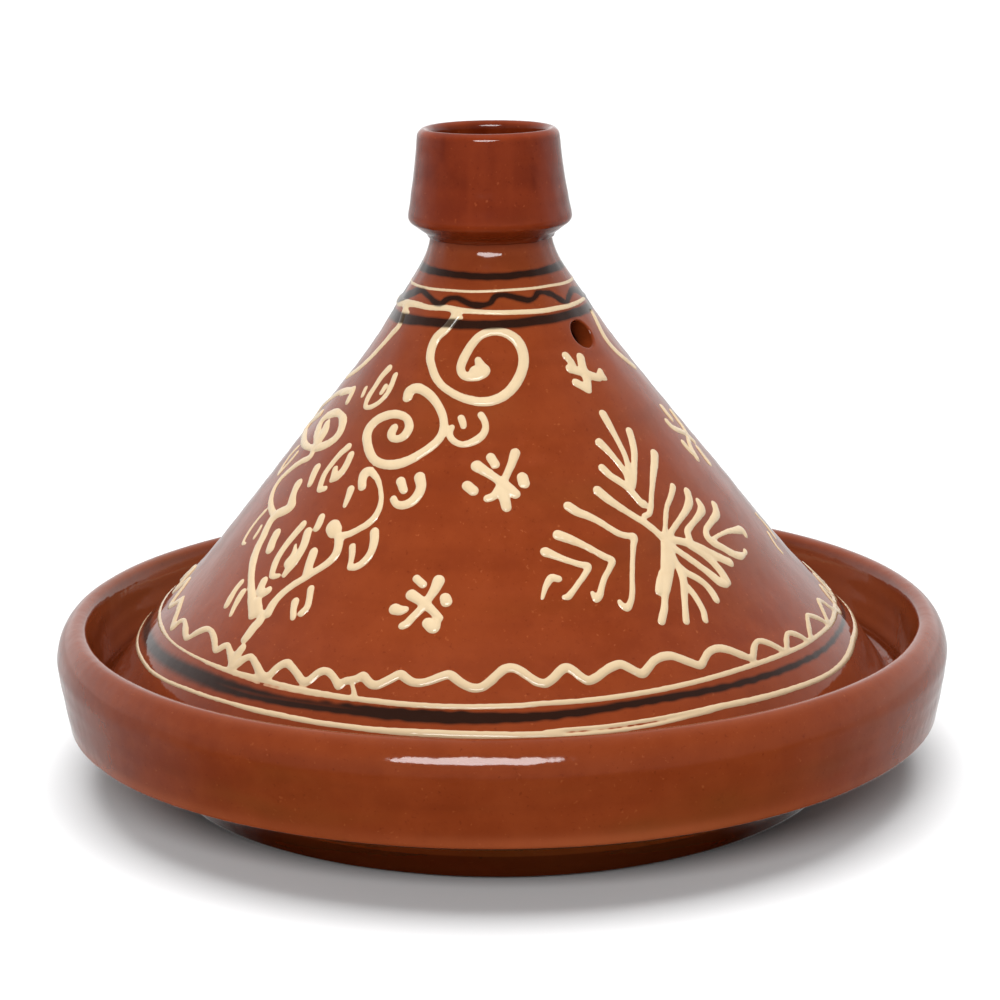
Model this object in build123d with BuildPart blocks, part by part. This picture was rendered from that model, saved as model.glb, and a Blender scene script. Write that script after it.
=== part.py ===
from build123d import *
import math
import os

os.makedirs("parts", exist_ok=True)

# Tagine pot: a shallow glazed dish, a tall conical lid that drops inside the
# dish's raised rim and rests on a ledge, and a hollow flared knob luted on
# top of the cone.  Millimetres, +Z up, origin at the centre of the base.
# +X points at the small steam vent near the top of the cone.

# ---------------------------------------------------------------- dish
dish_r = 150.0          # widest radius, on the rim band
dish_widest_z = 46.6    # height of the widest circle
crease_r = 146.6        # sharp lower edge of the rim band
crease_z = 23.2
foot_r = 112.0          # radius of the foot where it leaves the table
foot_edge = 2.0         # rounding of the foot's corner
lip_z = 55.6            # top of the rim
lip_crest_r = 143.8     # where the rim is highest
lip_inner_r = 138.8     # inner edge of the rim
rim_wall_r = 136.0      # inner wall of the rim, down at the ledge
ledge_z = 31.0          # ledge the lid stands on
ledge_inner_r = 123.5   # inner edge of the ledge
well_floor_z = 10.0     # inside floor of the dish
well_r = 94.0           # where the floor starts to turn up

# ---------------------------------------------------------------- lid
lid_gap = 0.3           # air between the lid's edge and the ledge
lid_edge_r = 132.4      # outer radius of the lid's bottom edge
lid_edge_wall = 8.4     # width of the lid's standing edge
shoulder_r = 114.2      # change of slope between skirt and cone
shoulder_z = 57.1
neck_r = 20.2           # neck, where the knob is luted on
neck_z = 182.4
cap_z = 174.2           # top of the hollow inside the cone

# ---------------------------------------------------------------- steam vent
vent_d = 9.4
vent_r = 36.2           # centre of the vent on the cone's outer face
vent_z = 152.8
vent_slope = 18.0       # degrees the vent's axis rises, nearly square to the wall
vent_edge = 0.8         # softened edge round the vent, outside and inside

# ---------------------------------------------------------------- knob
knob_base_r = 26.8      # widest radius of the knob, low down
knob_lip_r = 23.45      # outer radius at its lip
knob_top_z = 217.6
knob_mouth_r = 19.0     # inner radius at its mouth
knob_floor_z = 188.4    # inside floor of the knob

lid_base_z = ledge_z + lid_gap

# ================================================================= dish
# One thrown and turned piece: flat foot, hollowed underside of the rim band,
# a leaning rim band with a rounded lip, a ledge and a shallow cooking well.
with BuildPart() as dish:
    with BuildSketch(Plane.XZ) as dish_section:
        with BuildLine() as dish_line:
            # underside and foot
            base = Line((0, 0), (foot_r - foot_edge, 0))
            foot_round = RadiusArc(base @ 1, (foot_r, foot_edge), -foot_edge)
            # cove under the rim band
            cove = Spline(
                foot_round @ 1,
                (114.6, 6.2),
                (120.6, 12.8),
                (129.0, 18.4),
                (137.0, 21.4),
                (crease_r - 1.2, 22.6),
                tangents=[(0.2, 1.0), (1.0, 0.1)],
            )
            crease = ThreePointArc(
                cove @ 1, (crease_r - 0.25, crease_z - 0.25), (crease_r, crease_z + 1.0)
            )
            # leaning rim band, slightly bellied
            band = Spline(
                crease @ 1,
                (148.1, 31.5),
                (149.3, 39.0),
                (dish_r, dish_widest_z),
                tangents=[(0.16, 1.0), (0.0, 1.0)],
            )
            # rounded lip
            lip_out = Spline(
                band @ 1,
                (149.2, 50.6),
                (147.2, 53.9),
                (lip_crest_r, lip_z),
                tangents=[(0.0, 1.0), (-1.0, 0.0)],
            )
            lip_in = Spline(
                lip_out @ 1,
                (140.6, 54.9),
                (lip_inner_r, 52.4),
                tangents=[(-1.0, 0.0), (-0.25, -1.0)],
            )
            # inner wall down to the ledge
            wall = Line(lip_in @ 1, (rim_wall_r + 0.2, ledge_z + 2.4))
            wall_foot = ThreePointArc(
                wall @ 1,
                (rim_wall_r - 0.75, ledge_z + 0.75),
                (rim_wall_r - 2.4, ledge_z),
            )
            ledge = Line(wall_foot @ 1, (ledge_inner_r + 2.0, ledge_z))
            ledge_nose = ThreePointArc(
                ledge @ 1,
                (ledge_inner_r + 0.5, ledge_z - 0.65),
                (ledge_inner_r - 0.2, ledge_z - 2.1),
            )
            # cooking well
            well = Spline(
                ledge_nose @ 1,
                (120.4, 21.6),
                (113.0, 14.4),
                (104.0, 11.0),
                (well_r, well_floor_z),
                tangents=[(-0.15, -1.0), (-1.0, 0.0)],
            )
            floor = Line(well @ 1, (0, well_floor_z))
            Line(floor @ 1, (0, 0))
        make_face()
    revolve(axis=Axis.Z)

dish.part.label = "dish"
export_step(dish.part, "parts/dish.step")

# ================================================================= lid
# One thrown cone with a steeper skirt below a soft shoulder, closed at the
# top, open below, with one round vent poked nearly square through the wall.
# The section is drawn on the side away from the vent.
with BuildPart() as lid:
    with BuildSketch(Plane(origin=(0, 0, 0), x_dir=(-1, 0, 0), z_dir=(0, 1, 0))) as lid_section:
        with BuildLine() as lid_line:
            # standing edge
            edge_in = (lid_edge_r - lid_edge_wall, lid_base_z + 1.6)
            edge_a = (lid_edge_r - lid_edge_wall + 1.8, lid_base_z)
            edge_b = (lid_edge_r - 2.6, lid_base_z)
            edge_out = (lid_edge_r - 0.1, lid_base_z + 2.2)
            round_in = ThreePointArc(
                edge_in,
                (edge_in[0] + 0.45, lid_base_z + 0.45),
                edge_a,
            )
            stand = Line(round_in @ 1, edge_b)
            round_out = ThreePointArc(
                stand @ 1,
                (lid_edge_r - 0.75, lid_base_z + 0.65),
                edge_out,
            )
            # skirt, then the soft shoulder, then the long cone
            skirt = Spline(
                round_out @ 1,
                (129.4, 37.3),
                (126.4, 41.6),
                (121.2, 49.5),
                (shoulder_r, shoulder_z),
                tangents=[(-0.55, 1.0), (-0.95, 1.0)],
            )
            cone = Spline(
                skirt @ 1,
                (101.9, 70.0),
                (89.3, 85.0),
                (77.3, 100.0),
                (65.3, 115.0),
                (53.4, 130.0),
                (44.0, 142.0),
                (36.8, 152.0),
                (31.6, 160.0),
                (27.8, 166.0),
                (24.5, 171.0),
                tangents=[(-0.95, 1.0), (-0.62, 1.0)],
            )
            neck = Spline(
                cone @ 1,
                (22.0, 175.0),
                (20.1, 179.0),
                (neck_r, neck_z),
                tangents=[(-0.62, 1.0), (0.25, 1.0)],
            )
            top = Line(neck @ 1, (0, neck_z))
            axis_line = Line(top @ 1, (0, cap_z))
            # hollow inside
            crown = Spline(
                axis_line @ 1,
                (8.0, 172.8),
                (15.8, 167.9),
                (21.0, 161.8),
                tangents=[(1.0, 0.0), (0.62, -1.0)],
            )
            inside = Spline(
                crown @ 1,
                (29.4, 150.6),
                (41.0, 134.5),
                (56.4, 114.9),
                (72.2, 95.0),
                (86.0, 77.8),
                (100.0, 62.4),
                (107.6, 54.4),
                tangents=[(0.62, -1.0), (0.95, -1.0)],
            )
            inner_skirt = Spline(
                inside @ 1,
                (114.6, 46.6),
                (120.6, 38.8),
                edge_in,
                tangents=[(0.95, -1.0), (0.42, -1.0)],
            )
        make_face()
    revolve(axis=Axis.Z)
    # steam vent
    vent_plane = Plane(
        origin=(vent_r, 0, vent_z),
        x_dir=(0, 1, 0),
        z_dir=(
            math.cos(math.radians(vent_slope)),
            0,
            math.sin(math.radians(vent_slope)),
        ),
    )
    with BuildSketch(vent_plane):
        Circle(vent_d / 2)
    extrude(amount=14, both=True, mode=Mode.SUBTRACT)
    # soften both rims of the vent
    vent_rims = [
        e
        for e in lid.edges()
        if e.bounding_box().center().X > 20
        and abs(e.bounding_box().center().Y) < 1
        and e.length < 60
    ]
    fillet(vent_rims, vent_edge)

lid.part.label = "lid"
export_step(lid.part, "parts/lid.step")

# ================================================================= knob
# Separately thrown hollow cup: undercut base that widens to a soft corner,
# leaning wall, rounded lip, closed floor.  Its flat foot is luted to the
# cone's flat top, so both meet face to face at the neck.
with BuildPart() as lid_knob:
    with BuildSketch(Plane.XZ) as knob_section:
        with BuildLine() as knob_line:
            seat = Line((0, neck_z), (neck_r, neck_z))
            under = Spline(
                seat @ 1,
                (22.5, 184.1),
                (24.9, 186.0),
                (26.3, 187.3),
                tangents=[(1.0, 0.55), (1.0, 0.95)],
            )
            corner = Spline(
                under @ 1,
                (knob_base_r, 189.4),
                (26.55, 191.4),
                tangents=[(1.0, 0.95), (-0.12, 1.0)],
            )
            side = Spline(
                corner @ 1,
                (25.95, 195.0),
                (25.15, 200.0),
                (24.1, 208.0),
                (knob_lip_r, 214.2),
                tangents=[(-0.12, 1.0), (-0.1, 1.0)],
            )
            lip = Spline(
                side @ 1,
                (22.9, 216.5),
                (21.2, knob_top_z),
                (19.5, 216.6),
                (knob_mouth_r, 214.0),
                tangents=[(-0.1, 1.0), (0.1, -1.0)],
            )
            bore = Spline(
                lip @ 1,
                (19.6, 206.0),
                (20.5, 197.0),
                (19.6, 191.2),
                (16.2, knob_floor_z + 0.5),
                (12.0, knob_floor_z),
                tangents=[(0.05, -1.0), (-1.0, 0.0)],
            )
            cup_floor = Line(bore @ 1, (0, knob_floor_z))
            Line(cup_floor @ 1, (0, neck_z))
        make_face()
    revolve(axis=Axis.Z)

lid_knob.part.label = "lid_knob"
export_step(lid_knob.part, "parts/lid_knob.step")
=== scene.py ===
import math
import bpy
import numpy as np
from mathutils import Matrix, Vector


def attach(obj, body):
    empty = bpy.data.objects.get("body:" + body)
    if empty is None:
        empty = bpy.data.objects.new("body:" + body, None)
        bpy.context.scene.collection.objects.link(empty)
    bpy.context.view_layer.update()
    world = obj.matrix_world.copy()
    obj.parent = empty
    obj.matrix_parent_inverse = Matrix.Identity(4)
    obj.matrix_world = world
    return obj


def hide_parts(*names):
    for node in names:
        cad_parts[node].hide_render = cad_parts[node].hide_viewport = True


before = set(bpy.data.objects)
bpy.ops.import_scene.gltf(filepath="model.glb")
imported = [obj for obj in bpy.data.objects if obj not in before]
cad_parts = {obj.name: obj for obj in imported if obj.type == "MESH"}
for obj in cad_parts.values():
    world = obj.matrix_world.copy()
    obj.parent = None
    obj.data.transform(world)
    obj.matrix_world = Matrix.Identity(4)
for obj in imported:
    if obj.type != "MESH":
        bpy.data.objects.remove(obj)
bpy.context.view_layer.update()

# Looks for a thrown, slip-trailed and glazed tagine pot.
# Work is done in millimetres and turned into metres when a mesh is made.
# Angles are degrees round +Z, 0 on +X, where the steam vent is.
MM = 0.001
VENT_TURN = 53.2                      # the middle of the traced front is at -VENT_TURN
RNG = np.random.default_rng(20)

# ------------------------------------------------------------------ strokes
# Hand-drawn slip trail: (angle in degrees, height in mm, half width in mm).
STROKES = {
    "big_spiral": [(-74.8, 161.6, 1.73), (-76.8, 158.9, 1.68), (-80.5, 156.1, 1.69), (-84, 153.9, 1.74), (-85.4, 151.2, 1.72), (-84.6, 148, 1.61), (-82.2, 145.3, 1.49), (-79, 142.5, 1.45), (-75.1, 140.3, 1.37), (-70.9, 138.7, 1.41), (-66.6, 137.4, 1.48), (-62.5, 136.6, 1.63), (-58.7, 136.2, 1.69), (-55, 136.4, 1.8), (-51.2, 137.3, 1.82), (-47.5, 139.1, 1.79), (-44.3, 141.5, 1.8), (-41.4, 144.5, 1.74), (-39.6, 147.6, 1.75), (-39.5, 150.8, 1.84), (-41.4, 153.4, 1.89), (-45.1, 155.2, 1.71), (-50.4, 156.1, 1.51), (-55.7, 155.9, 1.49), (-60.5, 154.7, 1.48), (-64, 152.5, 1.52), (-66.3, 150.1, 1.57), (-67.9, 147.5, 1.63), (-68.3, 145.2, 1.49), (-66.4, 143.4, 1.52), (-63.1, 143.2, 1.83), (-59.7, 143.8, 2.1), (-57.4, 144.9, 1.86), (-59.2, 146.2, 1.69), (-60.7, 147.9, 1.24)],
    "big_blob": [(-62, 144.8, 1.82), (-59.4, 144.8, 1.82)],
    "spiral2": [(-88.5, 136.2, 2.01), (-88.8, 137.8, 2.1), (-86.2, 138.9, 1.95), (-82.5, 138.5, 1.71), (-78.5, 137.1, 1.63), (-75, 135, 1.48), (-72.3, 132.5, 1.46), (-70.8, 129.7, 1.46), (-70.7, 127.4, 1.51), (-71.6, 125.3, 1.55), (-73.5, 123.3, 1.62), (-76, 121.4, 1.65), (-78.8, 119.5, 1.75), (-81.8, 118.1, 1.9), (-84.8, 117.4, 1.83), (-88.2, 117.4, 1.69), (-91.2, 118.2, 1.62), (-94.1, 119.9, 1.7), (-96.8, 122.2, 1.82), (-98.7, 124.5, 2.04), (-99, 126.6, 2.1), (-97.9, 128.4, 2.04), (-95.4, 129.9, 1.89), (-92.2, 130.9, 1.74), (-88.6, 131.1, 1.55), (-85.2, 130.3, 1.45), (-83.4, 128.7, 1.62), (-83.2, 126.9, 1.76), (-84.2, 125.3, 1.73), (-86, 124.5, 1.41), (-88.1, 124.7, 1.39), (-89, 126.1, 1.73), (-88.9, 127.3, 1.65)],
    "vine_hook": [(-91.1, 110.5, 1.63), (-92.1, 112.5, 1.75), (-92.2, 114.2, 2.01), (-90.9, 114.9, 1.55), (-89, 114.2, 1.29), (-86.8, 112.7, 1.07), (-85, 110.4, 0.94), (-83.8, 107.7, 0.99), (-83.5, 105, 1.16), (-84.1, 102.6, 1.32), (-85.4, 100.7, 1.33), (-87.2, 99.1, 1.29), (-88.9, 97.7, 1.33), (-90.7, 96.8, 1.5)],
    "vine_blob": [(-94.5, 98.5, 2.95), (-93.6, 97.8, 2.93)],
    "vine_tail": [(-91.5, 96.3, 1.84), (-90.6, 94, 1.71), (-90.4, 91.8, 1.71), (-91, 89.9, 1.6), (-92.4, 87.9, 1.43), (-94.1, 85.9, 1.4), (-95.8, 83.8, 1.44), (-97.5, 81.8, 1.44), (-98.8, 79.7, 1.49), (-99.8, 77.4, 1.64), (-100.2, 75, 1.94), (-100, 73, 1.81)],
    "dash_v1": [(-94.5, 109.2, 1.61), (-94.2, 107, 1.33), (-94, 104.7, 0.96)],
    "u1": [(-80.4, 108.4, 1.35), (-79.2, 107.2, 1.36), (-77.4, 107, 1.56), (-75.4, 107.9, 1.69), (-74, 109.8, 1.76), (-73.5, 112.3, 1.76), (-74.6, 114.9, 1.97)],
    "u1_dot": [(-79.9, 113.4, 1.66), (-78.1, 111, 1.45)],
    "u2": [(-82.6, 99.1, 1.71), (-81.9, 96.7, 1.61), (-81.7, 94.3, 1.47), (-82.1, 92.2, 1.44), (-83, 90.5, 1.41), (-84.2, 89.3, 1.3), (-85.5, 88.9, 1.07)],
    "u2_in": [(-86.9, 94.5, 1.31), (-86.2, 92.5, 1.24), (-85.8, 90.7, 1.07), (-85.7, 89, 0.96)],
    "u3": [(-58.3, 132.6, 1.26), (-56.9, 130.9, 1.19), (-56.5, 129, 1.19), (-57.2, 127.3, 1.35), (-58.9, 125.9, 1.47), (-61, 124.9, 1.36), (-63.2, 124.4, 1.2), (-65.5, 124.8, 1.18), (-67.5, 126, 1.15), (-68.4, 127.6, 1.16), (-67.8, 129, 1.08)],
    "u3_dot": [(-65.2, 131.7, 1.25), (-64.4, 130.5, 1.28), (-63.9, 129.4, 1.15)],
    "f1_a": [(-70.3, 83.6, 1.98), (-68.7, 82.6, 1.77), (-67, 81.3, 1.59), (-65.4, 79.7, 1.48), (-64.1, 78, 1.41)],
    "f1_b": [(-65.2, 87.7, 2.1), (-65.7, 85.5, 1.72), (-66.5, 83.4, 1.46), (-67.3, 81.3, 1.48), (-68.2, 79.5, 1.39), (-69.2, 77.8, 1.4), (-70.1, 76.1, 1.45), (-70.8, 75.5, 1.38)],
    "f1_p1": [(-69.9, 87.9, 1.48), (-68.3, 86.5, 1.39)],
    "f1_p2": [(-73, 79.6, 2.04), (-71.9, 79.4, 1.77), (-70.8, 79.8, 1.15)],
    "f1_p3": [(-63.4, 83.3, 1.85), (-63.1, 82.4, 1.97)],
    "f1_p4": [(-66.1, 76.6, 1.95), (-64.9, 75.5, 2.05), (-64.4, 77.5, 1.35)],
    "f2_a": [(-58.6, 118.6, 2.07), (-56.3, 117.2, 1.73), (-53.6, 115.5, 1.53), (-51.2, 113.7, 1.74), (-49.4, 112, 1.85), (-48.3, 110.9, 1.75)],
    "f2_b": [(-47.3, 122, 1.7), (-48.4, 119.6, 1.44), (-49.8, 116.9, 1.28), (-51.2, 114.3, 1.32), (-52.6, 112.2, 1.4), (-53.8, 110.5, 1.45), (-55.5, 109.8, 1.38)],
    "f2_c": [(-52.1, 111.8, 1.66), (-51.1, 109.6, 1.78), (-50.7, 107.3, 1.63)],
    "f2_p1": [(-54.7, 121, 1.56), (-53.4, 119, 1.56)],
    "f2_p2": [(-60.9, 113.2, 1.82), (-59.2, 111.9, 1.79)],
    "f2_p3": [(-45.9, 115.3, 1.86), (-45.6, 113.7, 1.93)],
    "f3_a": [(-17.9, 147.6, 1.6), (-16.5, 145.7, 1.43), (-16.7, 144, 1.47)],
    "f3_b": [(-18.5, 143.9, 1.75), (-15.1, 142.9, 1.64), (-11.4, 141.8, 1.74), (-8.4, 140.7, 1.73), (-6, 140.1, 1.59)],
    "f3_c": [(-10, 146.6, 1.69), (-11.5, 144.1, 1.69), (-12, 141.8, 1.83), (-12.9, 139.2, 1.53), (-14.1, 137.6, 1.34)],
    "f3_d": [(-18.5, 139.8, 1.62), (-16.3, 138.7, 1.66), (-14.3, 137.3, 1.47)],
    "f3_e": [(-2.6, 141.7, 1.19), (-3.7, 140.5, 1.85), (-2.5, 139.5, 1.12)],
    "fr1": [(-12.8, 130.1, 1.69), (-12.6, 127.2, 1.54), (-12.3, 124.3, 1.27), (-12.2, 121.4, 1.18), (-12.3, 118.5, 1.17), (-12.9, 115.7, 1.2), (-13.7, 113, 1.31), (-14.7, 110.3, 1.43)],
    "fr2": [(-5.6, 124.1, 1.62), (-6.6, 121.4, 1.52), (-8.1, 118.7, 1.43), (-9.9, 116.1, 1.3), (-11.9, 113.5, 1.27), (-13.7, 111.2, 1.32), (-14.9, 109.7, 1.31)],
    "fr3": [(-19.2, 122.6, 1.76), (-17.7, 120.4, 1.49), (-16.5, 117.9, 1.25), (-15.6, 115.7, 1.22), (-15, 113.3, 1.29), (-15.2, 111.2, 1.48)],
    "fr4": [(-21.8, 115.8, 1.53), (-20.2, 113.4, 1.45), (-18.3, 111.6, 1.47), (-16.6, 109.6, 1.46), (-15.6, 107.3, 1.45), (-14.8, 105.2, 1.54), (-14.2, 104.5, 1.75)],
    "fr5": [(-25.7, 109.9, 1.85), (-24.1, 107.8, 1.76), (-22.3, 105.8, 1.54), (-20.2, 103.6, 1.39), (-18.2, 101.5, 1.34), (-16.2, 99.4, 1.4), (-14.5, 97, 1.44), (-13.4, 94.8, 1.54)],
    "fr6": [(-0.6, 116.6, 1.85), (-2.8, 114.2, 1.59), (-5.7, 111.5, 1.38), (-8.2, 108.8, 1.14), (-10.5, 106.1, 1.05), (-12.2, 103.5, 1.08), (-13.8, 101.7, 1.09), (-15.6, 101.3, 1.07)],
    "fr7": [(-35, 106.7, 1.75), (-33.1, 105, 1.67), (-30.8, 103.7, 1.46), (-28.4, 101.9, 1.32), (-26.4, 99.9, 1.26), (-24.4, 98, 1.27), (-22.4, 97, 1.25), (-20.8, 96.4, 1.4), (-21.9, 94.1, 1.14), (-23.1, 91.3, 0.98), (-24.1, 88.5, 0.98), (-25.1, 85.4, 0.97), (-26, 82.4, 1.06), (-27.1, 79.8, 1.15), (-28.3, 78.4, 1.28), (-29.1, 79.5, 1.13), (-29.3, 80.4, 0.89)],
    "fr8": [(-39.1, 99.3, 1.85), (-37.5, 98.5, 1.79), (-35.6, 97.4, 1.55), (-33.5, 95.9, 1.32), (-31.3, 94, 1.27), (-29.4, 92.3, 1.29), (-28.1, 91.3, 1.25), (-29.3, 89.2, 1.11), (-30.9, 87, 1.08), (-32.1, 84.7, 1.11), (-33, 82.6, 1.23), (-33.9, 81.6, 1.18), (-34.3, 83.4, 0.91)],
    "fr9": [(-42.6, 95.1, 1.74), (-40.9, 94.1, 1.45), (-39.1, 93, 1.21), (-37, 91.9, 1.16), (-35.2, 91, 1.2), (-33.8, 90.5, 1.2), (-34.9, 88.5, 1.09), (-36.7, 86.3, 1.03), (-38.2, 84.4, 1.06), (-39.4, 83, 1.22), (-40.1, 82.9, 1.05)],
    "fr10": [(-40.7, 87.8, 1.28), (-42, 88.2, 1.39), (-43.3, 86.4, 1.11), (-44.1, 84.4, 0.86), (-44.5, 83, 0.7)],
    "fr11": [(-1.1, 107, 1.32), (-4, 104.7, 1.19), (-7.4, 102.3, 1.03), (-9.7, 99.6, 1.06), (-11.6, 96.6, 1.04), (-13.2, 94.1, 1.43)],
    "fr12": [(3, 104.3, 1.85), (1.8, 102.2, 1.85), (-1.2, 100.3, 1.48), (-5, 98.5, 1.23), (-8.4, 96.7, 1.19), (-11.5, 94.6, 1.18)],
    "fr13": [(5, 101.1, 1.32), (4.5, 99.1, 1.85), (1.4, 97.5, 1.44), (-2.3, 96.1, 1.25), (-5.2, 94.6, 1.44), (-5.9, 92.6, 1.49)],
    "fr14": [(10.7, 98.3, 1.79), (9.3, 96.3, 1.85), (4.8, 94.8, 1.35), (1.2, 93.4, 1.31), (0.1, 91.6, 1.71), (0.9, 89.7, 1.69), (2.9, 87.7, 1.67), (4.8, 85.5, 1.76), (6.7, 84, 1.73), (9.1, 83.7, 0.97), (10.4, 84.2, 1.14)],
    "fr15": [(15.2, 87.4, 1.29), (15.3, 88.9, 1.85), (13, 89.7, 1.55), (8.9, 90.7, 1.04), (4.6, 90.9, 0.88), (1.4, 90.6, 0.93)],
    "fr16": [(-13.3, 93.8, 1.45), (-9.9, 93.2, 1.46), (-7.2, 91.8, 1.66), (-4.1, 89.6, 1.71), (-1.6, 87.1, 1.81), (0.6, 85, 1.85), (2.2, 83.5, 1.85)],
    "fr17": [(-6.7, 91, 1.67), (-4.8, 88.6, 1.6), (-3.2, 85.8, 1.72), (-2.4, 83.1, 1.85), (-2.1, 80.7, 1.85), (-2.1, 79.3, 1.77)],
    "fr18": [(-12.9, 92.9, 1.52), (-10.7, 90.2, 1.37), (-8.6, 87.3, 1.42), (-6.8, 84.5, 1.49), (-5.3, 81.8, 1.79), (-4.3, 79.8, 1.85), (-3.2, 78.9, 1.65)],
    "fr19": [(-13, 90.4, 1.3), (-12.9, 87, 1.47), (-11.4, 84.3, 1.42), (-9.6, 82.3, 1.41), (-8.3, 80, 1.46), (-7.8, 77.7, 1.6), (-7.8, 75.9, 1.59)],
    "fr20": [(-12.8, 85.8, 1.57), (-13.4, 82.6, 1.59), (-14.5, 79.8, 1.44), (-15.7, 76.8, 1.28), (-16.6, 74.3, 1.34), (-17.2, 72.5, 1.37)],
    "fr21": [(-13, 80.6, 1.32), (-12.5, 78.5, 1.37), (-12.3, 76.2, 1.36), (-12.4, 73.7, 1.32), (-13, 71.7, 1.31)],
    "fr22": [(-13.3, 92.7, 2.22), (-14.4, 89.8, 2.65), (-15.7, 87, 2.65), (-17, 84.6, 2.34), (-18.2, 82.1, 1.82), (-19.5, 79.4, 1.32), (-20.4, 77.2, 1.38), (-21.6, 75, 1.42), (-22.3, 73.7, 1.47)],
    "fr23": [(-17.7, 85.8, 1.25), (-19.3, 83.2, 1.53), (-20.2, 81.3, 1.54)],
    "l_edge": [(-119.3, 161.9, 1.5), (-117.7, 158.9, 1.5), (-115.5, 155.4, 1.5), (-118.7, 152.3, 1.5), (-122, 148.3, 1.39), (-125.4, 144.6, 1.48), (-129.6, 140.9, 1.5), (-134.9, 138, 1.5), (-139.8, 135.9, 1.5)],
    "l_leaf1": [(-105.7, 143, 1.56), (-107.5, 140.4, 1.43), (-108.2, 137, 1.33), (-108.1, 133.7, 1.36), (-106.6, 131.4, 0.98), (-103.6, 131.8, 1.15), (-100.7, 133.7, 1.14), (-99.2, 136.1, 1.12), (-99.1, 138.6, 1.19), (-99.8, 141.6, 1.2)],
    "l_leaf1_dot": [(-102.2, 138, 1.18), (-102.5, 136.1, 1.08)],
    "l_dash1": [(-113.4, 136.2, 1.01), (-112.3, 134.1, 1.05)],
    "l_hook": [(-129.8, 132.2, 1.5), (-124.6, 133.8, 1.5), (-121.6, 135, 1.02), (-120.4, 133.4, 1.5), (-119.5, 131.2, 1.46)],
    "l_spiral": [(-137.1, 124.2, 2), (-142.4, 120.5, 2), (-141.7, 118, 2), (-135.8, 116.7, 2), (-130, 115.9, 1.7), (-123.2, 116.1, 1.34), (-118.3, 117.3, 1.9), (-114.6, 119.1, 2), (-112.4, 121.3, 2), (-112.3, 123.7, 2), (-114.3, 126, 2), (-118.5, 127.3, 1.38), (-123.7, 126.9, 2), (-127.9, 125.2, 2), (-129.2, 123.1, 2), (-127.2, 121, 2), (-123.8, 119.4, 2), (-120, 117.9, 1.85)],
    "l_spiral_in": [(-123.4, 123.3, 2.05), (-121.7, 121.6, 2.6), (-121.1, 119.7, 2.6)],
    "l_vine": [(-121, 116.2, 1.5), (-119.6, 114.2, 1.5), (-123, 111.8, 1.5), (-126.4, 108.7, 1.5), (-128.4, 105.2, 1.5), (-128.3, 101.9, 1.5), (-125.6, 99.4, 1.5), (-122.4, 97.8, 1.5), (-118.9, 96.8, 1.5)],
    "l_leaf2": [(-130.6, 112.9, 1), (-131.1, 110.4, 1), (-132.5, 107.6, 1), (-133.3, 105.2, 1), (-135.1, 107.7, 1), (-135.4, 110.6, 1), (-134, 113.8, 1)],
    "l_dash2": [(-112.3, 112.2, 1.9), (-111.7, 109.9, 1.86), (-111, 107.7, 1.45)],
    "l_leaf3": [(-103.9, 119.9, 1.63), (-105.4, 117.9, 1.42), (-106.6, 115, 1.33), (-107.1, 112, 1.35), (-106.7, 109.5, 1.41), (-105.6, 107.2, 1.3), (-103.8, 107.8, 1.15)],
    "l_leaf3b": [(-100.8, 118.1, 1.53), (-100.6, 115.8, 1.59), (-100.8, 113.3, 1.6), (-101.7, 111.6, 1.6), (-103, 110.5, 1.23)],
    "l_leaf3_in": [(-104.2, 113.5, 1.28), (-103, 111.5, 1.5)],
    "l_hook2": [(-116.5, 106.4, 2.2), (-115.6, 103.8, 1.9), (-114.3, 101.8, 2.13), (-113.1, 100.6, 2.2), (-114.6, 98.9, 2.2), (-116.9, 97.2, 2.2), (-117.8, 95.1, 2.2), (-117.4, 92.8, 2.2), (-116.5, 90.3, 2.2), (-115.9, 87.8, 2.2), (-114.8, 85.1, 2.2), (-112.9, 82.4, 1.86), (-110.9, 79.8, 1.7), (-108.5, 77.1, 1.64), (-106.3, 74.6, 1.97), (-104.2, 72.4, 2.2), (-103.7, 71.7, 2.2)],
    "l_root": [(-101.5, 72.6, 1.31), (-101, 70.8, 1.97), (-101.5, 68.7, 2.1), (-101.6, 66.8, 2.09), (-101.7, 65.6, 1.89)],
    "l_root_in": [(-104.6, 74.6, 2.23), (-102.8, 72.6, 2.17)],
    "l_oval": [(-112, 92.5, 2.2), (-111.6, 90.4, 2.2), (-110.8, 88.5, 2.2)],
    "l_u1": [(-104.4, 97.2, 1.65), (-105.3, 94.3, 1.68), (-106.1, 91.1, 1.59), (-106.4, 87.9, 1.6), (-105.9, 84.8, 1.64), (-104.6, 82.3, 1.27), (-102.9, 82.8, 0.99)],
    "l_u1b": [(-101.5, 95.7, 1.9), (-100.6, 92.8, 1.9), (-100.4, 89.7, 1.77), (-100.7, 87, 1.73), (-101.3, 84.8, 1.55), (-101.4, 83.5, 1.19)],
    "l_u1_in": [(-103.1, 91.6, 0.67), (-102.1, 89, 1.44), (-102.3, 86.7, 1.9)],
    "l_dash3": [(-96.6, 91, 1.9), (-96.2, 88.4, 1.9), (-95.6, 85.3, 1.8)],
    "l_dash4": [(-99.6, 100.3, 1.57), (-99.3, 98.6, 1.67), (-99.3, 97.4, 1.57)],
    "l_heart": [(-106.3, 80.2, 1.9), (-106, 78.3, 1.9), (-104.5, 77.3, 1.59), (-103.4, 78.6, 1.54)],
    "l_u2": [(-92.7, 81.7, 1.47), (-92.1, 79.4, 1.34), (-91.6, 76.9, 1.39), (-92.2, 75.2, 1.47)],
    "l_u2_dash": [(-95, 77.6, 1.65), (-94.4, 75.5, 1.31), (-93.6, 73.6, 1.18)],
    "l_p1": [(-113.2, 77.7, 1.42), (-113.4, 75.4, 1.5), (-113.2, 72.7, 1.76), (-112.9, 71.2, 1.61)],
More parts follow.
